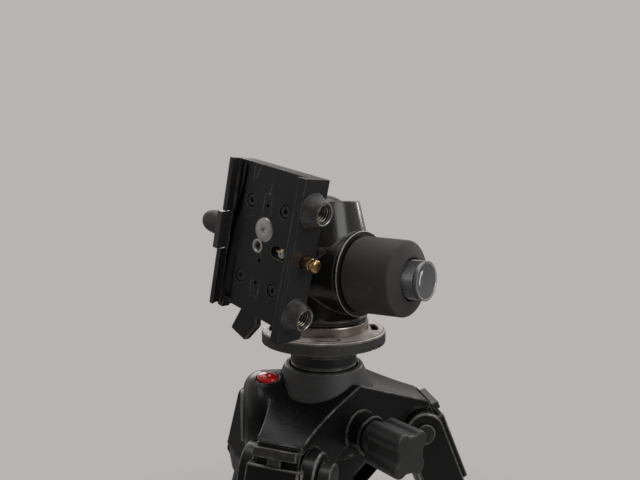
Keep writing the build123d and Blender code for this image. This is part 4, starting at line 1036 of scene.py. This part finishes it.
# Small screw beside it, which keeps the clamp from turning: a rust-brown socket screw.
# It sits in a bright steel washer that lies on the deck.
twist_across = -0.0026
twist_along = 0.0002
twist_radius = 0.0032
twist_foot = 0.0405
twist_shank = 0.0018
twist_seat = 0.0505
twist_head = 0.77 * twist_radius
twist_top = deck_floor - 0.0001
washer_radius = 0.0042
washer_foot = 0.05
washer_bore = 0.62 * twist_radius
washer_top = deck_floor + 0.0004
washer_profile = [
    (washer_bore, washer_foot),
    (twist_radius, washer_foot),
    (twist_radius, deck_floor),
    (washer_radius, deck_floor),
    (washer_radius, washer_top),
    (0.86 * twist_radius, washer_top),
    (0.78 * twist_radius, deck_floor - 0.0002),
    (washer_bore, deck_floor - 0.0003),
]
washer = turn_profile("twist_washer", washer_profile, 48)
paint(washer, zinc)
round_edges(washer, 0.0002, 2, 30)
twist_profile = [
    (0, twist_foot),
    (twist_shank, twist_foot),
    (twist_shank, twist_seat),
    (twist_head, twist_seat),
    (twist_head, twist_top),
    (0, twist_top),
]
twist = turn_profile("twist_screw_head", twist_profile, 32)
rust_brown = finish(
    "rust_brown", (0.07, 0.045, 0.034, 1), (0.5, 0.65), (0.11, 0.06, 0.035, 1),
    rub=(0.002, 0.8), grain=(0.0003, 0.3), scratch=0, metallic=0.4,
)
paint(twist, rust_brown)
cut_socket(twist, radius=0.00125, top=twist_top, depth=0.0016)
round_edges(twist, 0.0001, 2, 30)
twist = join("twist_screw_set", washer, twist)
seat(twist, deck_frame(twist_across, twist_along, 0))
stand(twist, "clamp", "steel", "twist_screw")

# Moving jaw: a milled block, coated black, that closes the far rail on the plate.
# A domed grip is pressed on its outer face.
knob_radius = 0.0074
knob_length = 0.0228
knob_along = 0.003
knob_height = 0.05
knob_straight = 0.6
knob_steps = 10
# The jaw's coat is the deck's black painted lighter, as painted light from the left front.
jaw_lit_coat = finish(
    "jaw_lit_coat", (0.03, 0.029, 0.0295, 1), (0.3, 0.4), (0.045, 0.042, 0.042, 1),
    rub=(0.012, 0.4), grain=(0.00035, 0.12), scratch=0.3,
)
dress("clamp_jaw", jaw_lit_coat, clamp_edge, 0.0005, 3)
knob_profile = [(0, 0), (knob_radius, 0), (knob_radius, knob_straight * knob_length)]
for step in range(1, knob_steps + 1):
    swing = step / knob_steps * pi / 2
    reach = knob_radius * cos(swing) ** 0.6 if step < knob_steps else 0
    knob_profile.append((reach, knob_length * (knob_straight + (1 - knob_straight) * sin(swing))))
grip_grey = finish(
    "grip_grey", (0.03, 0.029, 0.0285, 1), (0.48, 0.6), (0.075, 0.073, 0.07, 1),
    rub=(0.01, 0.5), grain=(0.0003, 0.2), scratch=0.2,
)
jaw_grip = turn_profile("jaw_grip", knob_profile, 48)
paint(jaw_grip, grip_grey)
round_edges(jaw_grip, 0.0004, 2, 40)
seat(jaw_grip, deck_frame(-deck_half_width, knob_along, knob_height, deck_along, -deck_across))
stand(jaw_grip, "jaw", "clamp_black", "jaw_knob")

# Lock lever: a flat pressed arm under the foot of the deck, with the same coat.
# It swings to draw the jaw.
dress("lock_lever", clamp_coat, clamp_edge, 0.0011, 3)

# Safety pin: a turned brass pin with a rounded end and a groove, in a mouth bored in the flank of the deck.
# On its rod is the catch in the slot of the deck: a small plated stud with a cross recess and a brass finger.
pin_along = 0.001
pin_height = 0.0489
pin_radius = 0.0033
rod_radius = 0.002
rod_start = 0.01
pin_start = 0.0296
pin_end = 0.0405
pin_head = 0.0037
mouth_depth = 0.0046
mouth_past = 0.001
mouth_gap = 0.0002
finger_size = (0.003, 0.0022, 0.0022)
finger_aside = (0.0006, 0.0022)
finger_height = 0.0513
stud_across = 0.0163
stud_radius = 0.0025
stud_foot = 0.0502
stud_top = deck_floor + 0.0003
brass = finish(
    "brass", (0.62, 0.4, 0.17, 1), (0.24, 0.36), (0.4, 0.24, 0.09, 1),
    rub=(0.005, 0.7), grain=(0.0004, 0.05), scratch=0.15, metallic=1.0,
)
brass_edge = finish(
    "brass_edge", (0.72, 0.5, 0.24, 1), (0.2, 0.3),
    grain=(0.0004, 0.03), scratch=0, metallic=1.0,
)
pin_profile = [
    (0, rod_start),
    (rod_radius, rod_start),
    (rod_radius, pin_start),
    (pin_radius, pin_start),
    (pin_radius, deck_half_width + 0.0002),
    (pin_head, deck_half_width + 0.0004),
    (pin_head, pin_end - 0.0038),
    (pin_head - 0.0002, pin_end - 0.0036),
    (pin_head - 0.0002, pin_end - 0.0033),
    (pin_head, pin_end - 0.0031),
    (pin_head, pin_end - 0.0013),
    (0.95 * pin_head, pin_end - 0.0006),
    (0.82 * pin_head, pin_end - 0.0002),
    (0.6 * pin_head, pin_end),
    (0, pin_end + 0.0001),
]
pin = turn_profile("brass_pin", pin_profile, 48)
paint(pin, brass, brass_edge, zinc)
round_edges(pin, 0.00015, 2, 35, 1)
seat(pin, deck_frame(0, pin_along, pin_height, deck_along, deck_across))
begin()
bpy.ops.mesh.primitive_cylinder_add(vertices=48, radius=pin_head + mouth_gap, depth=mouth_depth + mouth_past)
mouth = bpy.context.object
mouth_middle = deck_half_width - (mouth_depth - mouth_past) / 2
seat(mouth, deck_frame(mouth_middle, pin_along, pin_height, deck_along, deck_across))
cut_away(clamp_deck, mouth)
begin()
bpy.ops.mesh.primitive_cube_add(size=1, location=(0, 0, 0))
finger = bpy.context.object
finger.scale = finger_size
seat(finger, Matrix.Identity(4))
paint(finger, brass)
round_edges(finger, 0.0005, 3, 30)
seat(finger, deck_frame(stud_across + finger_aside[0], pin_along + finger_aside[1], finger_height))
stud_profile = [
    (0, stud_foot),
    (stud_radius, stud_foot),
    (stud_radius, deck_floor - 0.0004),
    (0.8 * stud_radius, deck_floor + 0.0001),
    (0, stud_top),
]
stud = turn_profile("catch_stud", stud_profile, 32)
paint(stud, zinc)
cut_cross(stud, reach=0.0013, width=0.00035, top=stud_top, depth=0.0008)
round_edges(stud, 0.0001, 2, 30)
seat(stud, deck_frame(stud_across, pin_along, 0))
pin = join("safety_pin_brass", pin, finger, stud)
stand(pin, "safety_pin", "brass", "safety_pin")

# Floor and backdrop: a plain pale studio sheet.
# Further out it glows in the same tone as the room, so no line shows, and less where the object mirrors it.
backdrop_colour = (0.475, 0.458, 0.448, 1)
floor_in_gloss = 0.3
floor_size = 16
fade_start, fade_end = 0.5, 1.1
begin()
bpy.ops.mesh.primitive_plane_add(size=floor_size, location=(0, 0, 0))
floor = bpy.context.object
floor.name = "studio_floor"
floor_sheet, floor_tree, floor_surface = start_material("floor_sheet")
floor_surface.inputs["Base Color"].default_value = backdrop_colour
floor_surface.inputs["Roughness"].default_value = 0.9
floor_point = add_node(floor_tree, "ShaderNodeTexCoord").outputs["Object"]
floor_far = add_node(floor_tree, "ShaderNodeVectorMath", {"operation": "LENGTH"})
floor_tree.links.new(floor_point, floor_far.inputs[0])
floor_fade = between(floor_tree, floor_far.outputs["Value"], fade_start, fade_end)
floor_ray = floor_tree.nodes.new("ShaderNodeLightPath")
floor_strength = rescale(floor_tree, floor_ray.outputs["Is Glossy Ray"], 1.0, floor_in_gloss)
floor_glow = add_node(floor_tree, "ShaderNodeEmission", Color=backdrop_colour, Strength=floor_strength)
floor_mix = floor_tree.nodes.new("ShaderNodeMixShader")
floor_tree.links.new(floor_fade, floor_mix.inputs[0])
floor_tree.links.new(floor_surface.outputs[0], floor_mix.inputs[1])
floor_tree.links.new(floor_glow.outputs[0], floor_mix.inputs[2])
floor_tree.links.new(floor_mix.outputs[0], floor_tree.nodes["Material Output"].inputs["Surface"])
paint(floor, floor_sheet)

# Room light: a broad soft lamp overhead, a window to the left, a fill from the right and a strip behind.
# The room in front of the object is dim, so coated faces that mirror it stay dark.
room_front = (0.3584, -0.9336, 0)
room_front_colour = (0.075, 0.072, 0.07, 1)
room_colour = (0.36, 0.356, 0.352, 1)
room = bpy.data.worlds.new("room")
bpy.context.scene.world = room
room.use_nodes = True
room_tree = room.node_tree
room_light = room_tree.nodes["Background"]
room_light.inputs["Color"].default_value = room_colour
ray = room_tree.nodes.new("ShaderNodeLightPath")
ray_way = add_node(room_tree, "ShaderNodeTexCoord").outputs["Generated"]
front_part = add_node(room_tree, "ShaderNodeVectorMath", {"operation": "DOT_PRODUCT"})
room_tree.links.new(ray_way, front_part.inputs[0])
front_part.inputs[1].default_value = room_front
dim_part = between(room_tree, front_part.outputs["Value"], -0.05, 0.65)
dim_part = both(room_tree, dim_part, ray.outputs["Is Glossy Ray"])
room_shown = mix_colour(room_tree, dim_part, backdrop_colour, room_front_colour)
room_seen = add_node(room_tree, "ShaderNodeBackground", Color=room_shown, Strength=1.0)
sharp_rays = both(room_tree, ray.outputs["Is Glossy Ray"], ray.outputs["Is Transmission Ray"], "ADD")
seen = both(room_tree, ray.outputs["Is Camera Ray"], sharp_rays, "ADD")
room_mix = room_tree.nodes.new("ShaderNodeMixShader")
room_tree.links.new(seen, room_mix.inputs[0])
room_tree.links.new(room_light.outputs[0], room_mix.inputs[1])
room_tree.links.new(room_seen.outputs[0], room_mix.inputs[2])
room_tree.links.new(room_mix.outputs[0], room_tree.nodes["World Output"].inputs["Surface"])
look_at = Vector((0, 0, plate_top + 0.03))
for lamp_name, lamp_place, lamp_size, lamp_watts in (
    ("overhead_softbox", (-0.1, 0.15, 1.15), (1.2, 1.2), 7.0),
    ("left_window", (-0.75, 0.8, 0.5), (0.5, 0.9), 4.0),
    ("right_fill", (1.05, -0.35, 0.4), (0.6, 0.8), 5.0),
    ("back_strip", (0.45, 0.95, 0.6), (0.2, 0.9), 4.0),
):
    lamp = bpy.data.lights.new(lamp_name, "AREA")
    lamp.shape = "RECTANGLE"
    lamp.size, lamp.size_y = lamp_size
    lamp.energy = lamp_watts
    lamp_object = bpy.data.objects.new(lamp_name, lamp)
    lamp_object.location = look_at + Vector(lamp_place)
    lamp_object.rotation_euler = (-Vector(lamp_place)).to_track_quat("-Z", "Y").to_euler()
    bpy.context.scene.collection.objects.link(lamp_object)

# Camera: as the photograph was taken, close to the head and a little above it.
# The colours are shown as they are, without a film curve.
camera_lens = 29.79
camera_place = (0.1194, -0.3177, plate_top + 0.082)
camera_dip, camera_turn = 4.224, 21.0
camera = bpy.data.cameras.new("camera")
camera.lens = camera_lens
camera.sensor_width = 36
camera.clip_start = 0.01
camera_object = bpy.data.objects.new("camera", camera)
camera_object.location = camera_place
camera_object.rotation_euler = (radians(90 - camera_dip), 0, radians(camera_turn))
bpy.context.scene.collection.objects.link(camera_object)
bpy.context.scene.camera = camera_object
bpy.context.scene.view_settings.view_transform = "Standard"
